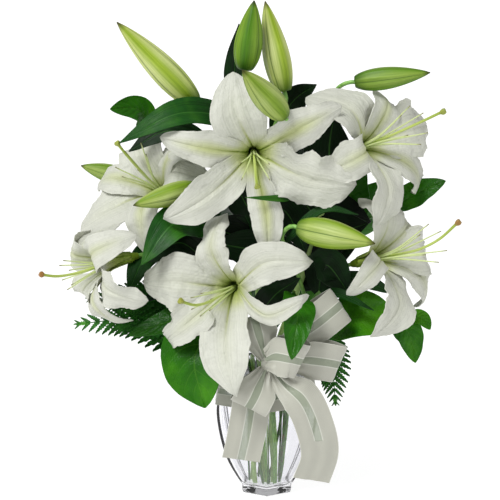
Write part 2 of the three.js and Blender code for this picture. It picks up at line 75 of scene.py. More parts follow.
class Line:
    """A smooth line through places, read by the share of its length, with a frame that doesn't twist."""

    STEPS = 14  # straight pieces from one place to the next

    def __init__(self, *places):
        knots = [Vector(place) for place in places]
        ends = [2 * knots[0] - knots[1], *knots, 2 * knots[-1] - knots[-2]]
        self.points = [knots[0]]
        for four in zip(ends, ends[1:], ends[2:], ends[3:]):
            self.points += [centripetal(*four, (i + 1) / self.STEPS) for i in range(self.STEPS)]
        self.far = [0.0]
        for p, q in zip(self.points, self.points[1:]):
            self.far.append(self.far[-1] + (q - p).length)
        self.length = self.far[-1]
        self.ways = [
            (self.points[min(i + 1, len(self.points) - 1)] - self.points[max(i - 1, 0)]).normalized()
            for i in range(len(self.points))
        ]
        normal = self.ways[0].orthogonal().normalized()
        self.normals = []
        for way in self.ways:
            normal = (normal - normal.dot(way) * way).normalized()
            self.normals.append(normal)

    def at(self, share):
        """The place, the tangent and the normal at that share of the length."""
        want = share * self.length
        i = min(max(bisect_left(self.far, want), 1), len(self.far) - 1)
        t = (want - self.far[i - 1]) / max(self.far[i] - self.far[i - 1], 1e-9)
        return (
            self.points[i - 1].lerp(self.points[i], t),
            self.ways[i - 1].lerp(self.ways[i], t).normalized(),
            self.normals[i - 1].lerp(self.normals[i], t).normalized(),
        )



# ---- Meshes ----


def new_mesh():
    made = bmesh.new()
    made.loops.layers.uv.new("UVMap")
    made.verts.layers.float.new("tone")
    return made


def faces_of(verts):
    return list(dict.fromkeys(face for vert in verts for face in vert.link_faces))


def lay_uv(bm, faces, place_at):
    """Moves each corner of the faces, in the UV map, to the place that place_at makes of its old one."""
    uv = bm.loops.layers.uv.active
    for face in faces:
        for corner in face.loops:
            corner[uv].uv = place_at(*corner[uv].uv)


def paint(bm, verts, tone):
    layer = bm.verts.layers.float["tone"]
    for vert in verts:
        vert[layer] = tone


def blade(bm, line, across, along, side_at, width_at, lift_at, thick, tone=0.5, cloth=None):
    """A thin closed sheet along a line. u runs from -1 to 1 across it and t from 0 to 1 along it. A
    cloth's UV map is in millimetres, from its width and length."""
    made = bmesh.ops.create_grid(bm, x_segments=across, y_segments=along, size=0.5, calc_uvs=True)["verts"]
    for vert in made:
        u, t = 2 * vert.co.x, vert.co.y + 0.5
        place, tangent, _ = line.at(t)
        side = side_at(t, tangent)
        side = (side - side.dot(tangent) * tangent).normalized()
        up = side.cross(tangent)
        vert.co = place + side * (u * width_at(t, u) / 2) + up * (lift_at(t, u) + thick / 2)
    faces = faces_of(made)
    if cloth:
        lay_uv(bm, faces, lambda x, y: (x * cloth[0], y * cloth[1]))
    # Solidify goes by the faces' normals, which are still those of the flat grid.
    for face in faces:
        face.normal_update()
    shell = bmesh.ops.solidify(bm, geom=faces, thickness=thick)["geom"]
    paint(bm, made + [part for part in shell if isinstance(part, bmesh.types.BMVert)], tone)


def rod(bm, line, radius_at, sides, steps, tone=0.5, roll=0):
    """A round closed bar along a line. radius_at takes the share of the length and of the turn."""
    made = bmesh.ops.create_grid(bm, x_segments=sides, y_segments=steps, size=0.5, calc_uvs=True)["verts"]
    for vert in made:
        turn, t = vert.co.x + 0.5, vert.co.y + 0.5
        place, tangent, normal = line.at(t)
        angle = 2 * math.pi * (turn + roll)
        out = normal * math.cos(angle) + tangent.cross(normal) * math.sin(angle)
        vert.co = place + out * radius_at(t, turn)
    faces = faces_of(made)
    bmesh.ops.remove_doubles(bm, verts=made, dist=1e-4)
    rims = list(dict.fromkeys(edge for face in faces for edge in face.edges if edge.is_boundary))
    faces += bmesh.ops.holes_fill(bm, edges=rims, sides=0)["faces"]
    bmesh.ops.recalc_face_normals(bm, faces=faces)
    paint(bm, {vert for face in faces for vert in face.verts}, tone)


def piece(name, bm, material, node, sharp=50):
    """Ends a mesh: turns it to metres and makes it a piece that stands for the CAD node."""
    bmesh.ops.scale(bm, vec=(MM, MM, MM), verts=bm.verts)
    mesh = bpy.data.meshes.new(name)
    bm.to_mesh(mesh)
    bm.free()
    mesh.materials.append(material)
    mesh.shade_smooth()
    mesh.set_sharp_from_angle(angle=math.radians(sharp))
    made = bpy.data.objects.new(name, mesh)
    bpy.context.scene.collection.objects.link(made)
    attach(made, "root")
    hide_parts(node)
    return made


# ---- Materials ----


def colour(code):
    """An sRGB hex value as a linear colour."""
    parts = [int(code[i : i + 2], 16) / 255 for i in (1, 3, 5)]
    return (*(c / 12.92 if c <= 0.04045 else ((c + 0.055) / 1.055) ** 2.4 for c in parts), 1)


def plug(node, sockets):
    """Links each socket to the output that is given for it, or else sets it to the value."""
    for name, value in sockets.items():
        if isinstance(value, bpy.types.NodeSocket):
            node.id_data.links.new(value, node.inputs[name])
        else:
            node.inputs[name].default_value = value


def add(tree, kind, sockets=(), stops=(), out=0, **settings):
    """Adds a node with its settings, its sockets and the stops of its ramp, and gives an output of it."""
    node = tree.nodes.new("ShaderNode" + kind)
    for name, value in settings.items():
        setattr(node, name, value)
    plug(node, dict(sockets))
    for i, (place, code) in enumerate(stops):
        ramp = node.color_ramp.elements
        stop = ramp[i] if i < 2 else ramp.new(place)
        stop.position = place
        stop.color = colour(code)
    return node.outputs[out]


def new_material(name):
    made = bpy.data.materials.new(name)
    made.use_nodes = True
    return made, made.node_tree, made.node_tree.nodes["Principled BSDF"]


def uv_parts(tree):
    """The UV map, and its two numbers apart."""
    uv = add(tree, "UVMap")
    parts = add(tree, "SeparateXYZ", {"Vector": uv}).node.outputs
    return uv, parts["X"], parts["Y"]


def away(tree, value, middle):
    """How far the value is from the middle."""
    off = add(tree, "Math", {0: value, 1: middle}, operation="SUBTRACT")
    return add(tree, "Math", {0: off}, operation="ABSOLUTE")


def mask(tree, *fades, strength=1.0):
    """The strength times each fade: 1 at its value's start, 0 at its end, and a smooth step between."""
    for value, start, end in fades:
        fade = add(tree, "MapRange", {0: value, 1: start, 2: end, 3: 1, 4: 0},
                   interpolation_type="SMOOTHSTEP")
        strength = add(tree, "Math", {0: strength, 1: fade}, operation="MULTIPLY")
    return strength


def mottled(tree, scale, depth):
    """The tone of the mesh with soft clouds over it."""
    place = add(tree, "TexCoord", out="Object")
    cloud = add(tree, "TexNoise", {"Vector": place, "Scale": scale, "Detail": 4})
    cloud = add(tree, "MapRange", {0: cloud, 1: 0.25, 2: 0.75, 3: -depth, 4: depth})
    tone = add(tree, "Attribute", out="Fac", attribute_name="tone")
    return add(tree, "Math", {0: tone, 1: cloud}, operation="ADD", use_clamp=True)


def streaks(tree, uv, across, along, detail=3):
    """Noise drawn out lengthwise, with so many streaks over the width and waves over the length."""
    drawn = add(tree, "Mapping", {"Vector": uv, "Scale": (across, along, 1)})
    return add(tree, "TexNoise", {"Vector": drawn, "Scale": 1, "Detail": detail})


def grainy(tree, scale, strength, distance):
    """The normal of a skin with a fine grain."""
    place = add(tree, "TexCoord", out="Object")
    grain = add(tree, "TexNoise", {"Vector": place, "Scale": scale, "Detail": 2})
    return add(tree, "Bump", {"Height": grain, "Strength": strength, "Distance": distance})


def see_through(tree, shader, skin, bump, share):
    """Lets that share of the light through the skin."""
    through = add(tree, "BsdfTranslucent", {"Color": skin, "Normal": bump})
    both = add(tree, "MixShader", {0: share, 1: shader.outputs[0], 2: through})
    plug(tree.nodes["Material Output"], {"Surface": both})


def lily_petal():
    """Living lily petal: a waxy skin over pale tissue that passes some light, with sunk parallel veins
    and a soft satin shine. The tone is 0 on the broad inner petals, green at the throat only, up to 0.5
    on the narrow outer ones, with a yellow-green band to the tip, and 1 on the green receptacle."""
    made, tree, shader = new_material("lily_petal_waxy")
    uv, u, v = uv_parts(tree)
    tone = add(tree, "Attribute", out="Fac", attribute_name="tone")
    off = away(tree, u, 0.5)
    depth = add(tree, "Math", {0: tone, 1: 0.56, 2: 0.04}, operation="MULTIPLY_ADD")
    green = mask(tree, (off, 0, 0.312), (v, 0.55, 0.97), strength=depth)
    rib = mask(tree, (off, 0, 0.05), (v, 0.25, 0.62), strength=0.38)
    throat = mask(tree, (v, 0.1, 0.4), strength=0.85)
    receptacle = add(tree, "Math", {0: tone, 1: 0.9}, operation="GREATER_THAN")
    for part in (rib, throat, receptacle):
        green = add(tree, "Math", {0: green, 1: part}, operation="ADD", use_clamp=True)
    veins = streaks(tree, uv, 30, 1.4)  # about 2 mm apart on a petal 52 mm wide
    body = add(tree, "ValToRGB", {"Fac": veins}, [(0.3, "#cccec2"), (0.7, "#dcddd2")])
    tint = add(tree, "ValToRGB", {"Fac": green},
               [(0, "#ffffff"), (0.3, "#eaf0ba"), (0.65, "#c8d878"), (1, "#86a62a")])
    skin = add(tree, "Mix", {0: 1.0, 6: body, 7: tint}, out=2, data_type="RGBA", blend_type="MULTIPLY")
    place = add(tree, "TexCoord", out="Object")
    cells = add(tree, "TexNoise", {"Vector": place, "Scale": 480, "Detail": 2})
    waves = add(tree, "TexNoise", {"Vector": place, "Scale": 110, "Detail": 2})
    relief = add(tree, "Math", {0: cells, 1: 0.5, 2: veins}, operation="MULTIPLY_ADD")
    relief = add(tree, "Math", {0: waves, 1: 2.8, 2: relief}, operation="MULTIPLY_ADD")
    bump = add(tree, "Bump", {"Height": relief, "Strength": 0.6, "Distance": 0.0012})
    plug(shader, {"Base Color": skin, "Normal": bump, "Roughness": 0.42, "IOR": 1.4})
    see_through(tree, shader, skin, bump, 0.2)
    return made


def lily_pistil():
    """Fleshy style and filaments: pale green and moist. A filament, with tone 0, ends in a cut brown
    tip. A style ends in a sticky stigma, from olive at tone 0.5 to red-brown at tone 1."""
    made, tree, shader = new_material("lily_pistil_fleshy")
    _, _, v = uv_parts(tree)
    tone = add(tree, "Attribute", out="Fac", attribute_name="tone")
    thread = add(tree, "ValToRGB", {"Fac": v},
                 [(0, "#a9c24e"), (0.4, "#cfdc9c"), (0.93, "#c3cf90"), (1, "#77724a")])
    style = add(tree, "ValToRGB", {"Fac": v}, [(0, "#a9c24e"), (0.5, "#bccb72"), (0.92, "#93a63c")])
    rust = add(tree, "MapRange", {0: tone, 1: 0.5})
    stigma = add(tree, "Mix", {0: rust, 6: colour("#8d9838"), 7: colour("#94552c")}, out=2, data_type="RGBA")
    at_end = add(tree, "MapRange", {0: v, 1: 0.94, 2: 0.965})
    style = add(tree, "Mix", {0: at_end, 6: style, 7: stigma}, out=2, data_type="RGBA")
    which = add(tree, "Math", {0: tone, 1: 0.25}, operation="GREATER_THAN")
    skin = add(tree, "Mix", {0: which, 6: thread, 7: style}, out=2, data_type="RGBA")
    plug(shader, {"Base Color": skin, "Normal": grainy(tree, 700, 0.4, 0.0004), "Roughness": 0.4})
    return made


def lily_bud():
    """Closed lily bud: three waxy sepals edge to edge, a ridge down each and a dark seam between. The
    tone is how far the bud has turned from green to cream."""
    made, tree, shader = new_material("lily_bud_waxy")
    uv, u, v = uv_parts(tree)
    tone = add(tree, "Attribute", out="Fac", attribute_name="tone")
    thrice = add(tree, "Math", {0: u, 1: 3}, operation="MULTIPLY")
    seam = add(tree, "Math", {0: thrice, 1: 0.5}, operation="PINGPONG")
    edge = add(tree, "Mix", {0: tone, 6: colour("#76982c"), 7: colour("#dadf9e")}, out=2, data_type="RGBA")
    ridge = add(tree, "Mix", {0: tone, 6: colour("#4d7c14"), 7: colour("#a8bd3c")}, out=2, data_type="RGBA")
    inward = mask(tree, (seam, 0.47, 0.16))
    body = add(tree, "Mix", {0: inward, 6: edge, 7: ridge}, out=2, data_type="RGBA")
    veins = streaks(tree, uv, 44, 2.2)
    shade = add(tree, "ValToRGB", {"Fac": veins}, [(0.28, "#cfd8b4"), (0.6, "#ffffff")])
    body = add(tree, "Mix", {0: 1.0, 6: body, 7: shade}, out=2, data_type="RGBA", blend_type="MULTIPLY")
    dark = mask(tree, (seam, 0.008, 0.03), strength=0.7)
    body = add(tree, "Mix", {0: dark, 6: body, 7: colour("#3d5f1e")}, out=2, data_type="RGBA")
    ends = add(tree, "ValToRGB", {"Fac": v},
               [(0, "#86a45c"), (0.16, "#eaf0d0"), (0.5, "#ffffff"), (0.9, "#e6eac0"), (0.985, "#6e6238")])
    skin = add(tree, "Mix", {0: 1.0, 6: body, 7: ends}, out=2, data_type="RGBA", blend_type="MULTIPLY")
    bump = add(tree, "Bump", {"Height": veins, "Strength": 0.5, "Distance": 0.0008})
    plug(shader, {"Base Color": skin, "Normal": bump, "Roughness": 0.42, "IOR": 1.4,
                  "Specular IOR Level": 0.35})
    return made


def lily_leaf():
    """Lily leaf: thick glossy cuticle over parallel veins, a sunk paler midrib, and light let through
    where the sun is behind it. The tone runs from near-black to fresh green: the leaf's own colour,
    and at the dark end partly painted shade for leaves that sit deep in the bunch."""
    made, tree, shader = new_material("lily_leaf_glossy")
    uv, u, _ = uv_parts(tree)
    # The ramp's dark end is partly painted shade, for leaves deep in the bunch; its light end is the leaf's
    # own green.
    skin = add(tree, "ValToRGB", {"Fac": mottled(tree, 42, 0.14)},
               [(0, "#040f04"), (0.3, "#0a280a"), (0.6, "#1c5416"), (1, "#529222")])
    veins = streaks(tree, uv, 26, 1.2)  # about 1 mm apart on a leaf 26 mm wide
    lines = add(tree, "ValToRGB", {"Fac": veins}, [(0.3, "#b8c8b0"), (0.6, "#ffffff")])
    skin = add(tree, "Mix", {0: 1.0, 6: skin, 7: lines}, out=2, data_type="RGBA", blend_type="MULTIPLY")
    rib = mask(tree, (away(tree, u, 0.5), 0.004, 0.026), strength=0.42)
    skin = add(tree, "Mix", {0: rib, 6: skin, 7: colour("#4f8a3a")}, out=2, data_type="RGBA")
    bump = add(tree, "Bump", {"Height": veins, "Strength": 0.6, "Distance": 0.0012})
    gloss = add(tree, "MapRange", {0: veins, 3: 0.26, 4: 0.5})
    plug(shader, {"Base Color": skin, "Normal": bump, "Roughness": gloss, "IOR": 1.4,
                  "Specular IOR Level": 0.3})
    see_through(tree, shader, skin, bump, 0.12)
    return made


def salal_leaf():
    """Salal leaf: a broad leathery leaf with a polished upper skin, a light midrib, side veins that
    sweep to the tip, and skin that puckers between them."""
    made, tree, shader = new_material("salal_leaf_leathery")
    _, u, v = uv_parts(tree)
    off = away(tree, u, 0.5)
    swept = add(tree, "Math", {0: off, 1: -0.5, 2: v}, operation="MULTIPLY_ADD")
    swept = add(tree, "Math", {0: swept, 1: 8}, operation="MULTIPLY")
    between = add(tree, "Math", {0: swept, 1: 0.5}, operation="PINGPONG")
    side = mask(tree, (between, 0, 0.06), (off, 0.1, 0.5), strength=0.3)
    rib = mask(tree, (off, 0.004, 0.02), strength=0.3)
    lines = add(tree, "Math", {0: side, 1: rib}, operation="MAXIMUM")
    skin = add(tree, "ValToRGB", {"Fac": mottled(tree, 30, 0.22)},
               [(0, "#071d03"), (0.35, "#154606"), (0.7, "#2b6f08"), (1, "#55a014")])
    skin = add(tree, "Mix", {0: lines, 6: skin, 7: colour("#5c942a")}, out=2, data_type="RGBA")
    place = add(tree, "TexCoord", out="Object")
    net = add(tree, "TexVoronoi", {"Vector": place, "Scale": 420}, feature="DISTANCE_TO_EDGE")
    pucker = add(tree, "Math", {0: between, 1: 1.6, 2: net}, operation="MULTIPLY_ADD")
    bump = add(tree, "Bump", {"Height": pucker, "Strength": 0.45, "Distance": 0.0012})
    plug(shader, {"Base Color": skin, "Normal": bump, "Roughness": 0.34, "IOR": 1.4,
                  "Specular IOR Level": 0.3})
    see_through(tree, shader, skin, bump, 0.2)
    return made


def fern_frond():
    """Leatherleaf fern: small leathery leaflets with a paler midrib, a fine grain and little shine."""
    made, tree, shader = new_material("fern_frond_leathery")
    _, u, _ = uv_parts(tree)
    skin = add(tree, "ValToRGB", {"Fac": mottled(tree, 160, 0.25)},
               [(0, "#0c2e0c"), (0.5, "#2a6c1e"), (1, "#64a83c")])
    rib = mask(tree, (away(tree, u, 0.5), 0, 0.06), strength=0.4)
    skin = add(tree, "Mix", {0: rib, 6: skin, 7: colour("#5f8f40")}, out=2, data_type="RGBA")
    plug(shader, {"Base Color": skin, "Normal": grainy(tree, 500, 0.5, 0.0006), "Roughness": 0.5,
                  "IOR": 1.4, "Specular IOR Level": 0.3})
    return made


def green_stem():
    """Skin of a cut stem: smooth, with fine lengthwise ribs and paler flecks. The tone runs from the
    brown of a woody twig to the fresh green of a lily stem."""
    made, tree, shader = new_material("lily_stem_skin")
    uv, _, _ = uv_parts(tree)
    skin = add(tree, "ValToRGB", {"Fac": mottled(tree, 240, 0.18)},
               [(0, "#6b3e2e"), (0.25, "#3f702a"), (0.6, "#7fb452"), (1, "#bcdc86")])
    bump = add(tree, "Bump", {"Height": streaks(tree, uv, 14, 3, 2), "Strength": 0.4, "Distance": 0.0006})
    plug(shader, {"Base Color": skin, "Normal": bump, "Roughness": 0.45})
    return made


def pressed_glass():
    """Clear pressed glass: fire-polished faces with a faint ripple drawn out from rim to foot."""
    made, tree, shader = new_material("pressed_glass_clear")
    place = add(tree, "TexCoord", out="Object")
    drawn = add(tree, "Mapping", {"Vector": place, "Scale": (1, 1, 0.22)})
    ripple = add(tree, "TexNoise", {"Vector": drawn, "Scale": 48, "Detail": 1})
    bump = add(tree, "Bump", {"Height": ripple, "Strength": 0.16, "Distance": 0.002})
    plug(shader, {"Base Color": colour("#f8f8fb"), "Normal": bump, "Roughness": 0.01, "IOR": 1.5,
                  "Transmission Weight": 1})
    return made


RIBBON_WIDTH = 38
SATIN_BORDER = 15  # each satin border; the stripe between them is sheer


def striped_ribbon():
    """Woven ribbon with a satin border each side of a sheer stripe: long floats that shine on the
    borders, open weave between, and a tight bright thread along each edge and where they meet. Its UV
    map is in millimetres, across and along. The tone is 1 where the ribbon is satin all over."""
    made, tree, shader = new_material("ribbon_satin_sheer_woven")
    uv, u, _ = uv_parts(tree)
    tone = add(tree, "Attribute", out="Fac", attribute_name="tone")
    off = away(tree, u, RIBBON_WIDTH / 2)
    stripe = RIBBON_WIDTH / 2 - SATIN_BORDER
    sheer = add(tree, "MapRange", {0: off, 1: stripe - 0.2, 2: stripe + 0.2, 3: 1, 4: 0})
    sheer = mask(tree, (tone, 0.6, 0.9), strength=sheer)
    # Where the ribbon is satin all over, 3 mm more keeps the bright thread from showing at the seam.
    hidden = mask(tree, (tone, 0.9, 0.6), strength=3.0)
    seam = add(tree, "Math", {0: hidden, 1: away(tree, off, stripe)}, operation="ADD")
    edge = add(tree, "Math", {0: RIBBON_WIDTH / 2, 1: off}, operation="SUBTRACT")
    near = add(tree, "Math", {0: seam, 1: edge}, operation="MINIMUM")
    cord = add(tree, "MapRange", {0: near, 2: 0.7, 3: 1, 4: 0})
    # The real threads are 0.2 mm apart, too fine to show, so they are drawn 0.9 mm apart.
    rows = add(tree, "Mapping", {"Vector": uv, "Scale": (1, 1.1, 1)})
    weft, warp = (
        add(tree, "TexWave", {"Vector": rows, "Scale": 0.32, "Distortion": wobble, "Detail": 1}, out="Fac",
            bands_direction=way)
        for way, wobble in (("Y", 0.6), ("X", 0.4))
    )
    weave = add(tree, "Math", {0: weft, 1: warp}, operation="MULTIPLY")
    satin = add(tree, "ValToRGB", {"Fac": weft}, [(0, "#a4a497"), (1, "#b9b9ad")])
    body = add(tree, "Mix", {0: sheer, 6: satin, 7: colour("#a0a893")}, out=2, data_type="RGBA")
    skin = add(tree, "Mix", {0: cord, 6: body, 7: colour("#d2d3c8")}, out=2, data_type="RGBA")
    gaps = add(tree, "MapRange", {0: weave, 3: 0.42, 4: 0.2})
    for share in (sheer, add(tree, "Math", {0: 1.0, 1: cord}, operation="SUBTRACT")):
        gaps = add(tree, "Math", {0: gaps, 1: share}, operation="MULTIPLY")
    solid = add(tree, "Math", {0: 1.0, 1: gaps}, operation="SUBTRACT", use_clamp=True)
    bump = add(tree, "Bump", {"Height": weave, "Strength": 0.25, "Distance": 0.0003})
    plug(shader, {"Base Color": skin, "Alpha": solid, "Normal": bump, "Roughness": 0.36, "Sheen Weight": 0.3})
    return made


PETAL = lily_petal()
PISTIL = lily_pistil()
BUD = lily_bud()
LEAF = lily_leaf()
SALAL_LEAF = salal_leaf()
FERN = fern_frond()
STEM = green_stem()
GLASS = pressed_glass()
RIBBON = striped_ribbon()

# ---- The vase ----

GLASS_WALL = 2.6  # at the middle of a face
GLASS_FLOOR = 10
FLOOR_CURVE = 1.5  # how far above its floor the hollow's wall starts
HOLLOW_FOOT = 19  # the radius of the hollow's flat floor
HOLLOW_FACES = 0.55  # the hollow is round at 0 and has six flat faces at 1
WALL_STEPS = 36
STEPS_ROUND = 72
EDGE_ANGLE = 24  # degrees; the edges that are sharper are polished round
EDGE_ROUND = 1.3
FLAT = math.cos(math.pi / 6)  # from a corner's radius to the middle of a flat face
# The outer corner radius at each height, from the base to the rim.
VASE_OUTSIDE = [
    (27, 0), (28.5, 2), (29, 9), (37, 21), (46.5, 38), (54, 60), (58.5, 84), (58.5, 96),
    (54, 116), (48, 132), (46, 142), (49, 152),
]


def along_face(angle):
    """How much further out a flat face lies that way than at its middle. One corner is at the front."""
    return 1 / math.cos(angle % (math.pi / 3) - math.pi / 6)


def vase():
    """Pressed glass, with six flat faces outside and a rounder hollow inside."""
    bm = bmesh.new()
    body = Line(*[(0, -radius, height) for radius, height in VASE_OUTSIDE[2:]])
    wall = [body.at(i / WALL_STEPS)[0] for i in range(WALL_STEPS + 1)]
    outside = [Vector((0, -radius, height)) for radius, height in ((0, 0), *VASE_OUTSIDE[:2])] + wall
    lowest = GLASS_FLOOR + FLOOR_CURVE
    hollow = [Vector((0, FLAT * p.y + GLASS_WALL, p.z)) for p in reversed(wall) if p.z > lowest]
    hollow += [Vector((0, -HOLLOW_FOOT, GLASS_FLOOR)), Vector((0, 0, GLASS_FLOOR))]
    for profile in (outside, hollow):
        before = set(bm.verts)
        verts = [bm.verts.new(place) for place in profile]
        edges = [bm.edges.new(pair) for pair in zip(verts, verts[1:])]
        bmesh.ops.spin(bm, geom=verts + edges, cent=(0, 0, 0), axis=(0, 0, 1), angle=2 * math.pi,
                       steps=STEPS_ROUND, use_merge=True)
        for vert in set(bm.verts) - before:
            further = along_face(math.atan2(vert.co.x, -vert.co.y))
            vert.co.xy *= FLAT * further if profile is outside else mix(1, further, HOLLOW_FACES)
    bmesh.ops.remove_doubles(bm, verts=bm.verts, dist=1e-3)
    bmesh.ops.bridge_loops(bm, edges=[edge for edge in bm.edges if edge.is_boundary])
    bmesh.ops.recalc_face_normals(bm, faces=bm.faces)
    least = math.radians(EDGE_ANGLE)
    corners = [edge for edge in bm.edges if edge.is_manifold and edge.calc_face_angle() > least]
    bmesh.ops.bevel(bm, geom=corners, offset=EDGE_ROUND, affect="EDGES", segments=3, profile=0.5, material=-1)
    piece("glass_vase", bm, GLASS, "vase", sharp=EDGE_ANGLE)


# ---- The lilies ----

# Each flower: the receptacle that its petals grow from, the way it faces, its pistil's tip, how far
# its filaments spread, how far its style sags, how rusty its stigma is, and how strong the
# yellow-green band of its outer petals is. A petal: its turn round the flower in degrees; how far out
# and how far ahead of the throat its tip lies; its width; how far its tip rolls back, its edge waves
# and its middle sways to one side; and how blunt its tip is.
FLOWERS = {
    "top": {
        "centre": (-14, 8, 350), "faces": (0.02, -0.99, -0.08), "pistil": (-10, -85, 323),
        "spread": 15, "sag": 0, "rust": 0.5, "band": 0.5,
        "inner": [(104, 83, 4, 51, 4, 2, -6, 0.7), (345, 103, 24, 53, 4, 9, 6, 0.95),
                  (214, 107, 30, 41, 8, 4, -5, 0.2)],
        "outer": [(30, 98, 12, 36, 4, 5, -3, 0.8), (277, 104, 36, 32, 8, 6, -5, 0.2),
                  (169, 93, 10, 34, 5, 3, 0, 0.7)],
    },
    "front": {
        "centre": (-27, -15, 216), "faces": (-0.32, -0.93, 0.1), "pistil": (-83, -112, 220),
        "spread": 11, "sag": 9, "rust": 0.55, "band": 0.12,
        "inner": [(20, 88, 4, 40, 14, 4, -12, 0.1), (180, 86, 16, 56, 2, 4, 4, 1),
                  (284, 103, 44, 52, 3, 3, 5, 0.15)],
        "outer": [(98, 73, -4, 29, 12, 6, -9, 0.3), (223, 81, 18, 34, 10, 8, -3, 1),
                  (0, 89, 34, 20, 14, 4, 21, 0.9)],
    },
    "right": {
        "centre": (77, 15, 343), "faces": (0.7, -0.62, 0.35), "pistil": (170, -44, 392),
        "spread": 20, "sag": 0, "rust": 0.5, "band": 0.3,
        "inner": [(119, 71, -22, 56, 10, 3, 0, 0.8), (7, 91, 16, 54, 6, 6, 0, 0.8),
                  (252, 86, 8, 46, 8, 4, -6, 0.5)],
        "outer": [(55, 71, 0, 34, 6, 3, 0, 0.8), (319, 79, 4, 36, 14, 4, 0, 0.7),
                  (200, 60, -16, 40, 6, 5, 0, 0.7)],
    },
    "low_right": {
        "centre": (90, -8, 237), "faces": (0.68, -0.62, 0.33), "pistil": (184, -62, 288),
        "spread": 20, "sag": 9, "rust": 0.85, "band": 0.15,
        "inner": [(85, 62, -4, 46, 8, 3, 0, 0.6), (352, 66, 6, 48, 8, 4, 0, 0.7),
                  (238, 88, 6, 40, 6, 4, -17, 0.3)],
        "outer": [(35, 67, -6, 32, 8, 3, 0, 0.6), (309, 74, 0, 30, 16, 4, -5, 0.4),
                  (212, 56, -4, 24, 14, 3, 10, 0.8)],
    },
    "left": {
        "centre": (-93, 33, 289), "faces": (-0.55, -0.55, 0.62), "pistil": (-146, -34, 360),
        "spread": 20, "sag": 0, "rust": 0.5, "band": 0.3,
        "inner": [(130, 66, 12, 50, 8, 4, 0, 0.7), (226, 93, 14, 54, 6, 3, -8, 0.3),
                  (22, 60, -8, 42, 6, 5, 0, 0.9)],
        "outer": [(190, 76, 14, 34, 6, 3, 0, 0.4), (291, 76, -2, 38, 8, 2, -3, 0.2),
                  (56, 60, -6, 34, 6, 3, 0, 0.6)],
    },
    "far_left": {
        "centre": (-135, -10, 243), "faces": (-0.86, -0.45, -0.12), "pistil": (-221, -54, 234),
        "spread": 14, "sag": 5, "rust": 0.9, "band": 0.2,
        "inner": [(100, 38, -20, 44, 10, 3, 0, 0.9), (337, 74, -6, 36, 10, 5, 0, 0.8),
                  (263, 47, -4, 34, 16, 4, 4, 0.8)],
        "outer": [(38, 50, -14, 32, 10, 3, 0, 0.8), (296, 64, 0, 28, 16, 3, 0, 0.5),
                  (150, 44, -8, 32, 12, 3, 0, 0.7)],
    },
}
PETAL_THICK = 0.8
PETAL_ROOT = 4.3  # from the flower's axis
THROAT_FORWARD, THROAT_WIDE = 28, 9  # the trumpet that the petals make before they flare
LONG_REACH = 95  # petals that reach less far arch higher
RECEPTACLE = 7  # its length behind the petals


def directions(flower):
    """The ways out of a flower's face, to its right and to its top."""
    axis = Vector(flower["faces"]).normalized()
    right = Vector((0, 0, 1)).cross(axis).normalized()
    return axis, right, axis.cross(right)


def petal_width(t, blunt):
    """The share of the greatest width at t, held longer near a blunt tip."""
    power = 1.05 - 0.6 * blunt * rise(0.55, 1, t)
    return max(0.02, 0.07 * (1 - t) + math.sin(math.pi * min(1, t**1.3)) ** power)


def petal(bm, flower, row, outer, seed):
    turn, reach, tip, width, curl, wave, sway, blunt = row
    axis, right, top = directions(flower)
    angle = math.radians(turn)
    out = right * math.cos(angle) + top * math.sin(angle)
    side = out.cross(axis)

    def at(outward, forward, sideways=0):
        return Vector(flower["centre"]) + out * outward + axis * forward + side * sideways

    crest = THROAT_FORWARD + 15 + 0.45 * tip + 0.25 * max(0, LONG_REACH - reach)
    line = Line(
        at(PETAL_ROOT, 0), at(THROAT_WIDE, THROAT_FORWARD), at(0.55 * reach, crest, sway),
        at(0.93 * reach, THROAT_FORWARD + tip + 0.35 * curl, 0.25 * sway),
        at(reach - 0.1 * curl, THROAT_FORWARD + tip - 0.65 * curl),
    )

    def ruffle(t, u):
        """The waves and crinkles along the edge that u is on."""
        hand = 7.7 if u > 0 else 1.3
        soft = math.sin(19 * t + 6 * noise.noise((seed, hand, 0.5))) + 2 * noise.noise((seed, hand, 8 * t))
        crinkle = noise.noise((seed + 5, hand, 42 * t)) * abs(u) ** 4
        held = rise(0.22, 0.5, t) * (1 - 0.6 * rise(0.85, 1, t))
        return wave * (0.55 * soft * abs(u) ** 2.5 + 0.35 * crinkle) * held

    def width_at(t, u):
        uneven = 0.045 * wave * noise.noise((seed, 7 * t, 3 * (u > 0))) * rise(0.2, 0.45, t)
        nicks = 0.012 * wave * noise.noise((seed, 34 * t, 5 * (u > 0)))
        return width * petal_width(t, blunt) * (1 + uneven + nicks)

    def lift_at(t, u):
        half = width * petal_width(t, blunt) / 2
        cup = mix(0.42, -0.14, math.sqrt(t)) * half * u * u
        keel = 0.12 * half * abs(u) * (1 - rise(0.5, 0.95, t)) + (0.1 * half * (1 - abs(u)) if outer else 0)
        groove = 1.5 * (1 - 0.7 * t) * (0.4 * hump(abs(u) - 0.2, 0.12) - hump(u, 0.06)) * min(1, half / 12)
        dents = 1.1 * noise.noise((seed, 5 * t, 2.2 * u)) * min(1, half / 12)
        return cup + keel + groove + dents + ruffle(t, u) * min(1, half / 14)

    tone = flower["band"] if outer else 0
    blade(bm, line, 24, 48, lambda t, tangent: side, width_at, lift_at, PETAL_THICK, tone)


def perianth(name, flower):
    bm = new_mesh()
    axis, _, _ = directions(flower)
    centre = Vector(flower["centre"])
    rod(bm, Line(centre - axis * RECEPTACLE, centre + axis * 2), lambda t, _: mix(3.3, 5.2, t), 16, 4, tone=1)
    for i, row in enumerate(flower["inner"] + flower["outer"]):
        petal(bm, flower, row, i > 2, 3.1 * i + 11 * len(name))
    piece(f"petals_{name}", bm, PETAL, f"perianth_{name}")


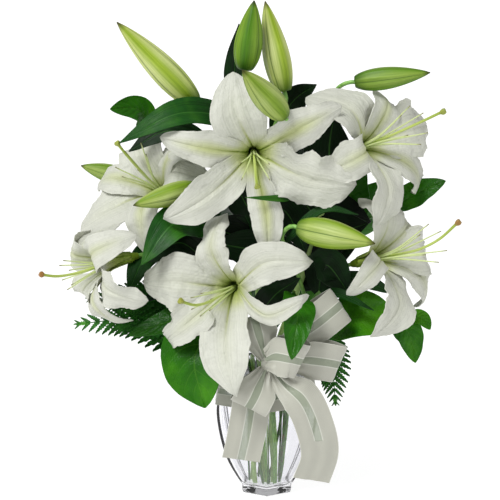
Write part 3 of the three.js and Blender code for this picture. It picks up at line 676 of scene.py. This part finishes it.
def pistil(name, flower):
    bm = new_mesh()
    axis, right, top = directions(flower)
    root = Vector(flower["centre"]) + axis * 2.3
    end = Vector(flower["pistil"])
    bend = root + axis * (0.55 * (end - root).length)
    places = [root.lerp(bend, t).lerp(bend.lerp(end, t), t) for t in (0, 0.2, 0.4, 0.6, 0.8, 1)]
    for place, share in zip(places, (0, 0.2, 0.6, 1, 0.9, 0)):
        place.z -= flower["sag"] * share
    style = Line(*places)

    def style_radius(t, turn):
        lobes = 1 + 0.22 * math.cos(6 * math.pi * turn) * rise(0.93, 0.97, t)
        ovary = 2.6 * (1 - rise(0.2, 0.27, t)) * (1 + 0.12 * math.cos(12 * math.pi * turn))
        stigma = 1.5 * rise(0.945, 0.975, t) * (1 - 0.5 * rise(0.985, 1, t))
        return max(ovary, mix(1.15, 1.4, t) + stigma) * lobes

    rod(bm, style, style_radius, 18, 60, flower["rust"])
    for i in range(6):
        turn = (i + 0.5) * math.pi / 3
        out = right * math.cos(turn) + top * math.sin(turn)
        reach = flower["spread"] * (1 + 0.25 * noise.noise((i, len(name), 0.5)))
        stops = ((0.02, 1.5), (0.35, 4), (0.72, reach))
        rod(bm, Line(*[style.at(share)[0] + out * apart for share, apart in stops]),
            lambda t, _: mix(1.25, 0.55, t), 8, 18, tone=0)
    piece(f"style_{name}", bm, PISTIL, f"pistil_{name}")


# Closed buds: base, tip, greatest width, tone from green to cream, and roll as a share of a turn.
BUDS = {
    "upper_left": ((-71, 6, 395), (-147, 2, 474), 28, 0.75, 0.17),
    "top_left": ((-22, 0, 428), (-13, -5, 495), 27, 0.0, 0.1),
    "top_right": ((17, 12, 406), (-2, 14, 494), 26, 0.8, 0.2),
    "centre": ((15, -46, 387), (-24, -90, 433), 26, 0.45, 0.2),
    "right": ((87, 14, 415), (160, 2, 425), 22, 0.12, 0.06),
    "far_left": ((-142, 64, 312), (-191, 60, 326), 19, 0.3, 0.1),
    "left": ((-70, -25, 315), (-130, -44, 300), 22, 0.45, 0.07),
    "front_right": ((30, -56, 280), (101, -88, 270), 28, 0.5, 0.03),
}


def bud_shape(t):
    return max(0.05, math.sin(math.pi * min(1, 0.12 + 0.88 * t**0.84)) ** 0.74 * (1.08 - 0.16 * t))


def bud(name, base, tip, width, tone, roll):
    bm = new_mesh()

    def radius_at(t, turn):
        seam = abs((3 * turn) % 1 - 0.5) * 2  # 0 on a ridge, 1 on a seam
        body = 1 + 0.06 * hump(seam, 0.2) - 0.11 * hump(1 - seam, 0.1) - 0.03 * hump(seam - 0.45, 0.14)
        split = 1 - 0.55 * rise(0.955, 1, t) * rise(0.35, 0.9, seam)
        return width / 2 * bud_shape(t) * mix(1, body, rise(0, 0.12, t)) * split

    rod(bm, Line(base, Vector(base).lerp(Vector(tip), 0.5), tip), radius_at, 48, 44, tone, roll)
    piece(f"closed_bud_{name}", bm, BUD, f"bud_{name}", sharp=70)


# ---- Stems and leaves ----

SEAT = 0.35  # the gap between a stalk or a foot and what it meets
STRAIGHT = 8  # the straight end of a stalk, in line with its flower or bud
STEM_FOOT = GLASS_FLOOR + SEAT
NECK = 145


def meeting(place, direction, off):
    return [Vector(place) - direction * distance for distance in (off + STRAIGHT, off)]


def behind(name):
    """The end of the stalk that carries that flower."""
    flower = FLOWERS[name]
    return meeting(flower["centre"], Vector(flower["faces"]).normalized(), RECEPTACLE + SEAT)


def below(name):
    """The end of the stalk that carries that bud."""
    base, tip, *_ = BUDS[name]
    return meeting(base, (Vector(tip) - Vector(base)).normalized(), SEAT)


def in_vase(foot, neck):
    """The straight part of a stem inside the vase, from its foot to the neck."""
    foot, neck = Vector((*foot, STEM_FOOT)), Vector((*neck, NECK))
    return [foot.lerp(neck, t) for t in (0, 0.5, 1)]


# Each lily stem: its radius at the foot, its tone, the points that it passes, the stalks that leave it,
# and its own leaves, each with its root, middle, tip, width and the way that its upper face looks.
LILY_STEMS = {
    "top": {
        "radius": 3, "tone": 0.85,
        "line": [*in_vase((-11, -11.5), (-12.5, 3.5)), (-7, 26, 230), (-8, 32, 300), (-9, 30, 335)],
        "stalks": [
            [(-9, 30, 328), (-12, 28, 344), *behind("top")],
            [(-9, 30, 330), (-16, 22, 385), *below("top_left")],
            [(-9, 30, 332), (8, 32, 370), *below("top_right")],
            [(-9, 30, 332), (12, 24, 366), (12, -4, 390), (18, -28, 391), *below("centre")],
        ],
        "leaves": [
            ((-7, 28, 246), (-30, 62, 276), (-52, 84, 266), 34, (0, 0.6, 0.8)),
            ((-8, 31, 306), (16, 48, 338), (46, 54, 374), 36, (0, -0.9, 0.4)),
            ((-9, 30, 330), (-26, 60, 366), (-42, 76, 388), 26, (0, 0.8, 0.6)),
            ((-7, 26, 236), (-34, 30, 258), (-62, 24, 268), 44, (0, -0.9, 0.4)),
            ((-7, 28, 252), (16, 34, 278), (44, 30, 290), 34, (0, -0.9, 0.4)),
            ((-8, 30, 268), (-26, 40, 298), (-38, 34, 330), 32, (0, -1, 0.1)),
        ],
    },
    "front": {
        "radius": 2.8, "tone": 0.6,
        "line": [*in_vase((6.5, -11), (-1.5, -20)), (-14, -6, 190), (-21, 2, 212)],
        "stalks": [[(-20, 1, 208), (-23, 2, 218), *behind("front")]],
        "leaves": [((-11, -10, 180), (9, 22, 196), (14, 58, 188), 20, (0, 0.5, 0.85))],
    },
    "right": {
        "radius": 3.8, "tone": 1,
        "line": [*in_vase((-13.5, 2), (10, 5.5)), (40, 20, 230), (60, 22, 300), (66, 16, 325)],
        "stalks": [
            [(65, 18, 318), (70, 12, 336), *behind("right")],
            [(65, 18, 320), (60, 36, 370), (68, 28, 404), *below("right")],
        ],
        "leaves": [
            ((61, 21, 304), (84, 52, 332), (110, 64, 354), 26, (0, 0.8, 0.6)),
            ((30, 17, 204), (54, 34, 236), (94, 34, 252), 54, (0, -0.9, 0.4)),
            ((36, 19, 220), (2, 20, 240), (-54, 12, 254), 46, (0, -0.9, 0.4)),
            ((50, 21, 270), (76, 36, 276), (106, 32, 272), 44, (0, -0.9, 0.4)),
            ((52, 21, 272), (36, 30, 300), (34, 24, 330), 30, (0, -1, 0.1)),
        ],
    },
    "low_right": {
        "radius": 2.7, "tone": 0.4,
        "line": [*in_vase((12, 2.5), (24.5, -4)), (46, -2, 195), (60, 0, 215)],
        "stalks": [
            [(58, 0, 211), (74, -1, 228), *behind("low_right")],
            [(42, -3, 189), (26, -22, 240), (14, -44, 270), *below("front_right")],
        ],
        "leaves": [((48, -2, 198), (74, 32, 212), (104, 52, 198), 24, (0, 0.5, 0.85))],
    },
    "left": {
        "radius": 3.2, "tone": 0.9,
        "line": [*in_vase((3, -3), (-6, -8)), (-46, 8, 210), (-72, 16, 254)],
        "stalks": [
            [(-71, 16, 250), (-84, 18, 276), *behind("left")],
            [(-71, 16, 250), (-95, 22, 250), *behind("far_left")],
            [(-71, 16, 250), (-52, 27, 330), (-54, 14, 378), *below("upper_left")],
            [(-71, 16, 250), (-100, 54, 288), *below("far_left")],
            [(-71, 16, 250), (-56, 4, 280), (-52, -16, 306), *below("left")],
        ],
        "leaves": [
            ((-56, 11, 226), (-84, 42, 250), (-116, 56, 240), 40, (0, 0.6, 0.8)),
            ((-70, 16, 250), (-58, 50, 288), (-66, 74, 314), 26, (0, 0.8, 0.6)),
            ((-46, 8, 210), (-74, 32, 222), (-104, 36, 222), 44, (0, -0.9, 0.4)),
        ],
    },
}
LEAF_THICK = 0.8
STEM_TOP = 2.8  # a stem's radius where its stalks leave it
STALK = 2.1  # a stalk's radius
SCARS = 13  # leaf scars up a stem
SCAR_TURN = 0.38  # of a turn, from each scar to the next


def leaf_width(t):
    return max(0.02, 0.1 * (1 - t) + math.sin(math.pi * t**0.85) ** 0.9)


def broad_width(t):
    return 0.07 if t < 0.12 else max(0.02, math.sin(math.pi * ((t - 0.1) / 0.9) ** 0.72) ** 0.7)


def leaf(bm, row, tone, shape=leaf_width, across=10):
    root, middle, tip, width, face = row
    facing = Vector(face).normalized()
    seed = sum(root) * 0.13

    def lift_at(t, u):
        half = width * shape(t)
        groove = 0.7 * (0.5 * hump(abs(u) - 0.18, 0.12) - hump(u, 0.08)) * min(1, half / 14)
        flutter = 0.05 * half * abs(u) * noise.noise((seed, 5 * t, 2 * (u > 0)))
        return 0.09 * half * u * u + groove + flutter

    def width_at(t, u):
        return width * shape(t) * (1 + 0.06 * noise.noise((seed, 7 * t, 5 * (u > 0))))

    blade(bm, Line(root, middle, tip), across, 26, lambda t, tangent: tangent.cross(facing),
          width_at, lift_at, LEAF_THICK, tone)


def lily_stem(name, row):
    bm = new_mesh()

    def radius_at(t, turn):
        scar = 0.35 * hump((t * SCARS) % 1 - 0.5, 0.12)
        side = math.cos(2 * math.pi * (turn + SCAR_TURN * round(t * SCARS)))
        return mix(row["radius"], STEM_TOP, t) + scar * side

    rod(bm, Line(*row["line"]), radius_at, 14, 90, row["tone"])
    for stalk in row["stalks"]:
        rod(bm, Line(*stalk), lambda t, _: STALK, 10, 26, 0.6)
    piece(f"green_stem_{name}", bm, STEM, f"lily_stem_{name}")
    bm = new_mesh()
    for i, each in enumerate(row["leaves"]):
        # Leaves that look to the front get low tones, partly painted shade for where they sit among the
        # flowers; the others get 0.5.
        to_front = each[4][1] < 0
        leaf(bm, each, 0.1 + 0.1 * (i % 3) if to_front else 0.5)
    piece(f"stem_leaves_{name}", bm, LEAF, f"lily_stem_{name}")


# Single lily leaves, each as on a stem, and its tone. The low tones are partly painted shade, for leaves that
# sit in shade among the flowers.
LILY_LEAVES = {
    "upper_left": (((-14, 24, 374), (-85, -30, 388), (-143, -38, 360), 30, (0.1, -0.8, 0.6)), 0.6),
    "upper_left_low": (((-53, 21, 352), (-100, 16, 366), (-138, 12, 346), 24, (0, -0.8, 0.5)), 0.35),
    "top_back": (((-14, 27, 360), (-32, 26, 420), (-28, 20, 472), 22, (-0.3, -0.9, 0)), 0.3),
    "top_right": (((5, 32, 362), (28, 34, 396), (49, 20, 412), 28, (0.2, -0.9, 0.3)), 0.3),
    "between": (((64, 22, 316), (62, 12, 350), (66, -2, 384), 48, (-0.2, -0.95, 0)), 0.2),
    "round_dark": (((41, 20, 232), (68, 8, 262), (100, -10, 277), 46, (-0.2, -0.8, 0.5)), 0.1),
    "narrow_right": (((17, -38, 262), (54, -44, 296), (88, -45, 291), 11, (0, -0.6, 0.8)), 0.45),
    "centre": (((-8, 31, 286), (18, -4, 288), (38, -24, 250), 36, (0.2, -0.9, 0.1)), 0.25),
    "under_top": (((-8, 32, 310), (18, -34, 306), (-21, -60, 310), 9, (0, -0.9, 0.4)), 0.75),
    "left_front": (((-56, 10, 270), (-90, -36, 282), (-122, -58, 244), 36, (0, -0.85, 0.4)), 0.6),
    "left_dark": (((-62, 12, 236), (-88, -12, 258), (-117, -35, 243), 38, (0.1, -0.8, 0.5)), 0.2),
    "far_left": (((-90, 21, 250), (-119, -2, 244), (-137, -34, 212), 27, (-0.2, -0.85, 0.4)), 0.45),
    "left_low": (((-47, 8, 210), (-88, -2, 214), (-126, -14, 198), 22, (0, -0.8, 0.6)), 0.35),
    "centre_right": (((51, -1, 202), (58, -14, 236), (84, -24, 205), 34, (-0.1, -0.9, 0.4)), 0.3),
    "right_low": (((40, -3, 182), (64, -31, 211), (104, -48, 197), 12, (0, -0.6, 0.8)), 0.5),
    "centre_low": (((-11, -10, 178), (8, -26, 208), (32, -32, 226), 28, (0, -0.9, 0.4)), 0.25),
    "right_middle": (((70, -1, 224), (98, -12, 219), (126, -22, 208), 17, (0, -0.7, 0.7)), 0.45),
}

# Sprigs of salal: the woody stem, its leaves, and their tone.
SALAL = {
    "low_left": {
        "line": [*in_vase((-1, -11.5), (-19.5, -12)), (-42, -20, 182), (-48, -22, 196)],
        "leaves": [
            ((-42, -20, 182), (-71, -54, 152), (-61, -60, 102), 68, (-0.2, -1, 0.15)),
            ((-47, -22, 194), (-95, -36, 184), (-136, -40, 170), 28, (0, -0.7, 0.7)),
        ],
        "tone": 0.66,
    },
    "front": {
        "line": [*in_vase((12, -7), (18, -15)), (22, -30, 190), (26, -38, 214)],
        "leaves": [((26, -38, 213), (29, -86, 207), (22, -118, 165), 33, (0.3, -0.9, 0.5))],
        "tone": 0.6,
    },
    "right": {
        "line": [*in_vase((-4, 13.5), (26, 3.5)), (62, 8, 172), (112, 6, 184), (146, 6, 178)],
        "leaves": [
            ((56, 7, 168), (94, -22, 186), (134, -28, 178), 56, (0, -0.75, 0.65)),
            ((120, 6, 184), (142, -2, 165), (150, -6, 134), 30, (0.3, -0.9, 0.2)),
            ((142, 6, 179), (156, 3, 178), (165, 0, 167), 17, (0.3, -0.8, 0.5)),
            ((80, 8, 177), (96, 48, 180), (116, 70, 158), 46, (0, 0.7, 0.7)),
        ],
        "tone": 0.85,
    },
    "far_right": {
        "line": [*in_vase((9.5, 14), (8.5, 13.5)), (56, 52, 220), (98, 50, 268), (126, 28, 286)],
        "leaves": [
            ((122, 31, 284), (156, 28, 304), (180, 24, 315), 27, (0.1, -0.8, 0.5)),
            ((92, 51, 262), (86, 42, 300), (98, 34, 330), 40, (0, -1, 0.1)),
            ((60, 52, 224), (48, 78, 214), (46, 92, 166), 52, (0, 0.9, 0.4)),
            ((84, 52, 252), (112, 72, 286), (136, 70, 308), 44, (0.2, 0.8, 0.5)),
        ],
        "tone": 0.7,
    },
    "upper_left": {
        "line": [*in_vase((3, 17.5), (-8, 18.5)), (-62, 52, 230), (-112, 74, 316), (-120, 72, 364)],
        "leaves": [
            ((-119, 72, 358), (-130, 54, 384), (-158, 38, 386), 28, (0.2, -0.9, 0.4)),
            ((-100, 66, 292), (-126, 88, 286), (-154, 92, 270), 48, (-0.3, 0.8, 0.5)),
            ((-52, 39, 216), (-64, 70, 218), (-80, 86, 190), 50, (-0.2, 0.8, 0.5)),
            ((-30, 24, 180), (-2, 60, 184), (6, 86, 144), 48, (0.1, 0.9, 0.4)),
        ],
        "tone": 0.65,
    },
}


def sprig(name, row):
    bm = new_mesh()
    rod(bm, Line(*row["line"]), lambda t, _: 1.7 + 0.25 * hump((t * 9) % 1 - 0.5, 0.1), 10, 70, 0.25)
    piece(f"salal_twig_{name}", bm, STEM, f"salal_{name}")
    bm = new_mesh()
    for i, each in enumerate(row["leaves"]):
        leaf(bm, each, row["tone"] - 0.12 * (i % 2), broad_width, 12)
    piece(f"salal_leaves_{name}", bm, SALAL_LEAF, f"salal_{name}")


# Fern fronds: the points that the stalk passes, and the frond's width.
FERNS = {
    "left": ([*in_vase((-18, -3.5), (-13, 12.5)), (-72, -2, 166), (-130, -2, 178), (-194, -8, 174)], 64),
    "left_upper": ([*in_vase((-10.5, 16), (-15.5, 22.5)), (-84, 20, 184), (-130, 4, 196),
                    (-181, -14, 202)], 56),
    "right": ([*in_vase((-15.5, 8), (19.5, 23)), (46, 24, 160), (65, 8, 130), (70, -2, 88)], 48),
}
PINNAE = 13  # pairs on a frond
TEETH = 7  # on each edge of a pinna
PINNA_LONG = 0.74  # the longest pinna, as a share of the frond's width
PINNA_WIDE = 0.38  # as a share of its own length
PINNA_THICK = 0.4


def toothed(t, u):
    """The width of a pinna: broad near its foot, with teeth that point to its tip."""
    tooth = (TEETH * t + (0.5 if u > 0 else 0)) % 1
    return math.sin(math.pi * mix(0.14, 1, t) ** 0.75) ** 0.8 * mix(0.5, 1, tooth) + 0.04


def pinna(bm, line, facing, width, lift, tone):
    blade(bm, line, 4, 4 * TEETH, lambda t, tangent: tangent.cross(facing),
          lambda t, u: width * toothed(t, u), lambda t, u: lift * abs(u), PINNA_THICK, tone)


def frond(name, places, width):
    bm = new_mesh()
    facing = Vector((0, -0.72, 0.69)).normalized()
    stalk = Line(*places)
    rod(bm, stalk, lambda t, _: mix(1.3, 0.5, t), 8, 60, 0.45)
    feather = Line(*places[3:])  # the part outside the vase
    for i in range(PINNAE):
        t = (i + 0.3) / PINNAE
        foot, tangent, _ = feather.at(t)
        side = tangent.cross(facing).normalized()
        long = PINNA_LONG * width * mix(1, 0.1, t**1.2)
        for way in (-1, 1):
            twist = noise.noise((i, way, len(name)))
            lean = (side * way + tangent * 1.1 + facing * 0.45 * twist).normalized()
            tip = foot + lean * long - facing * 0.08 * long
            line = Line(foot, foot.lerp(tip, 0.5) + facing * 0.04 * long, tip)
            turned = facing + side * 0.4 * twist
            pinna(bm, line, turned, PINNA_WIDE * long, 0.05 * long, 0.4 + 0.3 * twist)
    pinna(bm, Line(feather.at(0.88)[0], feather.at(1)[0]), facing, 6, 0.4, 0.7)
    piece(f"fern_frond_{name}", bm, FERN, f"fern_{name}")


# ---- The bow ----

KNOT = Vector((2, -69, 148))
KNOT_SIZE = (10, 7, 11)
KNOT_ROUND, KNOT_LONG = 60, 20  # its ribbon in the UV map, round it and along it
RIBBON_THICK = 0.6
# A loop of ribbon from the knot out to its far fold and back: where in the knot it starts, the
# ribbon's width direction at the fold, how far each layer stands off the loop's middle, how high the
# loop arches on its way, and the share of its width that it keeps in the knot.
LOOPS = {
    "upper_right": ((6, -66, 153), (72, -46, 203), (0.54, 0, -0.84), 8, 2, 0.2),
    "lower_right": ((6, -69, 149), (70, -66, 147), (-0.38, 0, -0.92), 8, 6, 0.3),
    "front": ((-1, -75, 155), (33, -91, 156), (-0.35, 0.2, -0.9), 8, 5, 0.55),
    "left": ((-2, -68, 153), (-14, -60, 194), (1, 0.1, 0.1), 6, 0, 0.3),
    "low": ((-2, -70, 143), (-19, -86, 109), (0.8, 0, -0.6), 7, 0, 0.35),
}
LOOP_MOUTH = 1.6  # half the gap between a loop's two layers in the knot
# The tails: the points that each passes, its width direction at the top and lower down, and the height
# below which it is satin all over.
TAILS = {
    "left": (
        [(-1, -68, 142), (-9, -68, 130), (-14, -67, 116), (-17, -66, 98), (-21, -65, 74), (-26, -62, 50)],
        ((1, 0, -0.3), (1, 0.15, -0.22)), 0,
    ),
    "right": (
        [(5, -72, 143), (17, -82, 131), (33, -87, 118), (45, -84, 92), (51, -77, 60), (43, -71, 32)],
        ((0.55, 0, 0.8), (1, 0.25, -0.1)), 76,
    ),
}


def ribbon(name, line, side_at, kept_at, satin_below=0):
    """A length of ribbon along a line. kept_at gives the share of its width that its gathers leave."""
    bm = new_mesh()

    def lift_at(t, u):
        kept = kept_at(t)
        pleat = 1 - kept
        soft = 0.5 * math.sin(9 * t + 2 * u) * u * kept
        folds = 2.6 * pleat * math.sin(3.6 * math.pi * u + 1)
        creases = 0.35 * math.sin(9 * u + 2) * rise(0, 0.5, pleat + 0.3)
        return folds + creases + soft + 1.1 * noise.noise((line.length * t / 24, 1.3 * u, len(name)))

    blade(bm, line, 20, 70, side_at, lambda t, u: RIBBON_WIDTH * kept_at(t), lift_at, RIBBON_THICK,
          cloth=(RIBBON_WIDTH, line.length))
    tone = bm.verts.layers.float["tone"]
    for vert in bm.verts:
        vert[tone] = 1 - rise(satin_below - 2, satin_below, vert.co.z)
    made = piece(f"bow_{name}", bm, RIBBON, f"ribbon_{name}", sharp=80)


def loop(name, root, fold, side, puff, arch, kept):
    start, far = Vector(root), Vector(fold)
    out = (far - start - Vector((0, 0, 4 * arch))).normalized()
    across = (Vector(side) - Vector(side).dot(out) * out).normalized()
    face = across.cross(out)

    def layer(share, stand):
        return start.lerp(far, share) + face * stand + Vector((0, 0, 4 * arch * share * (1 - share)))

    line = Line(
        layer(0, LOOP_MOUTH), layer(0.35, puff * 0.8), layer(0.78, puff), far,
        layer(0.78, -puff), layer(0.35, -puff * 0.8), layer(0, -LOOP_MOUTH),
    )
    ribbon(f"loop_{name}", line, lambda t, tangent: across, lambda t: min(1, kept + 2.6 * min(t, 1 - t)))


def tail(name, places, sides, satin_below):
    top, bottom = (Vector(side).normalized() for side in sides)
    ribbon(f"tail_{name}", Line(*places), lambda t, tangent: top.lerp(bottom, min(1, 2 * t)),
           lambda t: min(1, 0.2 + 3 * t), satin_below)


def knot():
    """The ribbon wrapped round the bow's middle and gathered, and the twist that holds it to the band."""
    bm = new_mesh()
    made = bmesh.ops.create_uvsphere(bm, u_segments=40, v_segments=24, radius=1, calc_uvs=True)["verts"]
    for vert in made:
        angle = math.atan2(vert.co.x, -vert.co.y)
        creases = 0.07 * math.sin(9 * angle + 2 * vert.co.z) * (1 - vert.co.z**2)
        vert.co = Vector([p * s for p, s in zip(vert.co * (0.82 + creases), KNOT_SIZE)]) + KNOT
    lay_uv(bm, bm.faces, lambda x, y: (x * KNOT_ROUND, y * KNOT_LONG))
    rod(bm, Line((0, -59.8, 118), (1, -61, 130), (2, -65, 143)),
        lambda t, turn: mix(5, 4, t) * (1 + 0.08 * math.cos(14 * math.pi * turn)), 28, 12)
    piece("bow_knot", bm, RIBBON, "ribbon_knot", sharp=80)


def outside_at(height):
    """The vase's corner radius at that height."""
    for (r0, z0), (r1, z1) in zip(VASE_OUTSIDE, VASE_OUTSIDE[1:]):
        if z0 <= height <= z1:
            return mix(r0, r1, (height - z0) / (z1 - z0))


BAND_LOW, BAND_HIGH = 97, 125
BAND_THICK = 0.5
BAND_ROUND = 330  # its way round the vase


def band():
    """The ribbon round the vase's shoulder, drawn tight over its six corners and creased along its run."""
    bm = new_mesh()
    made = bmesh.ops.create_grid(bm, x_segments=120, y_segments=16, size=0.5, calc_uvs=True)["verts"]
    for vert in made:
        angle = 2 * math.pi * (vert.co.x + 0.5)
        height = mix(BAND_LOW, BAND_HIGH, vert.co.y + 0.5)
        corner = outside_at(height)
        drawn = min((corner + 1.2) * FLAT * along_face(angle), corner + 1)
        crease = 0.55 * noise.noise((3 * math.cos(angle), 3 * math.sin(angle), height * 0.28))
        radius = drawn + crease + BAND_THICK
        vert.co = (radius * math.sin(angle), -radius * math.cos(angle), height)
    faces = faces_of(made)
    lay_uv(bm, faces, lambda x, y: (y * RIBBON_WIDTH, x * BAND_ROUND))
    bmesh.ops.remove_doubles(bm, verts=made, dist=1e-4)
    bmesh.ops.solidify(bm, geom=faces, thickness=BAND_THICK)
    made = piece("bow_band", bm, RIBBON, "ribbon_band", sharp=80)


# ---- Building ----

vase()
for name, flower in FLOWERS.items():
    perianth(name, flower)
    pistil(name, flower)
for name, row in BUDS.items():
    bud(name, *row)
for name, row in LILY_STEMS.items():
    lily_stem(name, row)
for name, (row, tone) in LILY_LEAVES.items():
    bm = new_mesh()
    leaf(bm, row, tone)
    piece(f"glossy_leaf_{name}", bm, LEAF, f"lily_leaf_{name}")
for name, row in SALAL.items():
    sprig(name, row)
for name, row in FERNS.items():
    frond(name, *row)
band()
knot()
for name, row in LOOPS.items():
    loop(name, *row)
for name, row in TAILS.items():
    tail(name, *row)

# ---- The studio ----

FLOOR_HALF = 60
FLOOR_GAP = 0.0003  # under the base

bm = bmesh.new()
bmesh.ops.create_grid(bm, x_segments=1, y_segments=1, size=FLOOR_HALF)
bmesh.ops.translate(bm, verts=bm.verts, vec=(0, 0, -FLOOR_GAP))
floor_mesh = bpy.data.meshes.new("studio_floor")
bm.to_mesh(floor_mesh)
bm.free()
floor_paint, _, floor_shader = new_material("studio_floor_matt_white")
plug(floor_shader, {"Base Color": colour("#8a8a8a"), "Roughness": 0.9, "Emission Color": colour("#ffffff"),
                    "Emission Strength": 0.89})
floor_mesh.materials.append(floor_paint)
studio_floor = bpy.data.objects.new("studio_floor", floor_mesh)
bpy.context.scene.collection.objects.link(studio_floor)

world = bpy.data.worlds.new("studio_tent")
world.use_nodes = True
plug(world.node_tree.nodes["Background"], {"Color": colour("#ffffff"), "Strength": 0.4})
bpy.context.scene.world = world


def lamp(name, kind, power, place, aim, size):
    """A lamp that points at aim. Its size is a sun's angle in degrees, or an area's side in metres."""
    data = bpy.data.lights.new(name, kind)
    data.energy = power
    if kind == "AREA":
        data.size = size
    else:
        data.angle = math.radians(size)
    made = bpy.data.objects.new(name, data)
    made.location = place
    made.rotation_euler = (Vector(aim) - Vector(place)).to_track_quat("-Z", "Y").to_euler()
    bpy.context.scene.collection.objects.link(made)


lamp("key_sun", "SUN", 2.35, (-1.2, -1.5, 2.6), (0, 0, 0.25), 22)
lamp("softbox_left", "AREA", 3, (-1.1, -0.8, 0.9), (0, 0, 0.28), 0.8)
lamp("softbox_right", "AREA", 2.5, (1.3, -0.7, 0.7), (0.05, 0, 0.28), 0.8)

camera_data = bpy.data.cameras.new("camera")
camera_data.lens = 115.2
camera_data.sensor_width = 36
camera_data.clip_end = 200
camera = bpy.data.objects.new("camera", camera_data)
target = Vector((-0.017, 0, 0.2484))
tilt = math.radians(10)
distance = 1.6
camera.location = target + Vector((0, -math.cos(tilt), math.sin(tilt))) * distance
camera.rotation_euler = Euler((math.pi / 2 - tilt, 0, 0))
bpy.context.scene.collection.objects.link(camera)
bpy.context.scene.camera = camera
bpy.context.scene.view_settings.view_transform = "Standard"
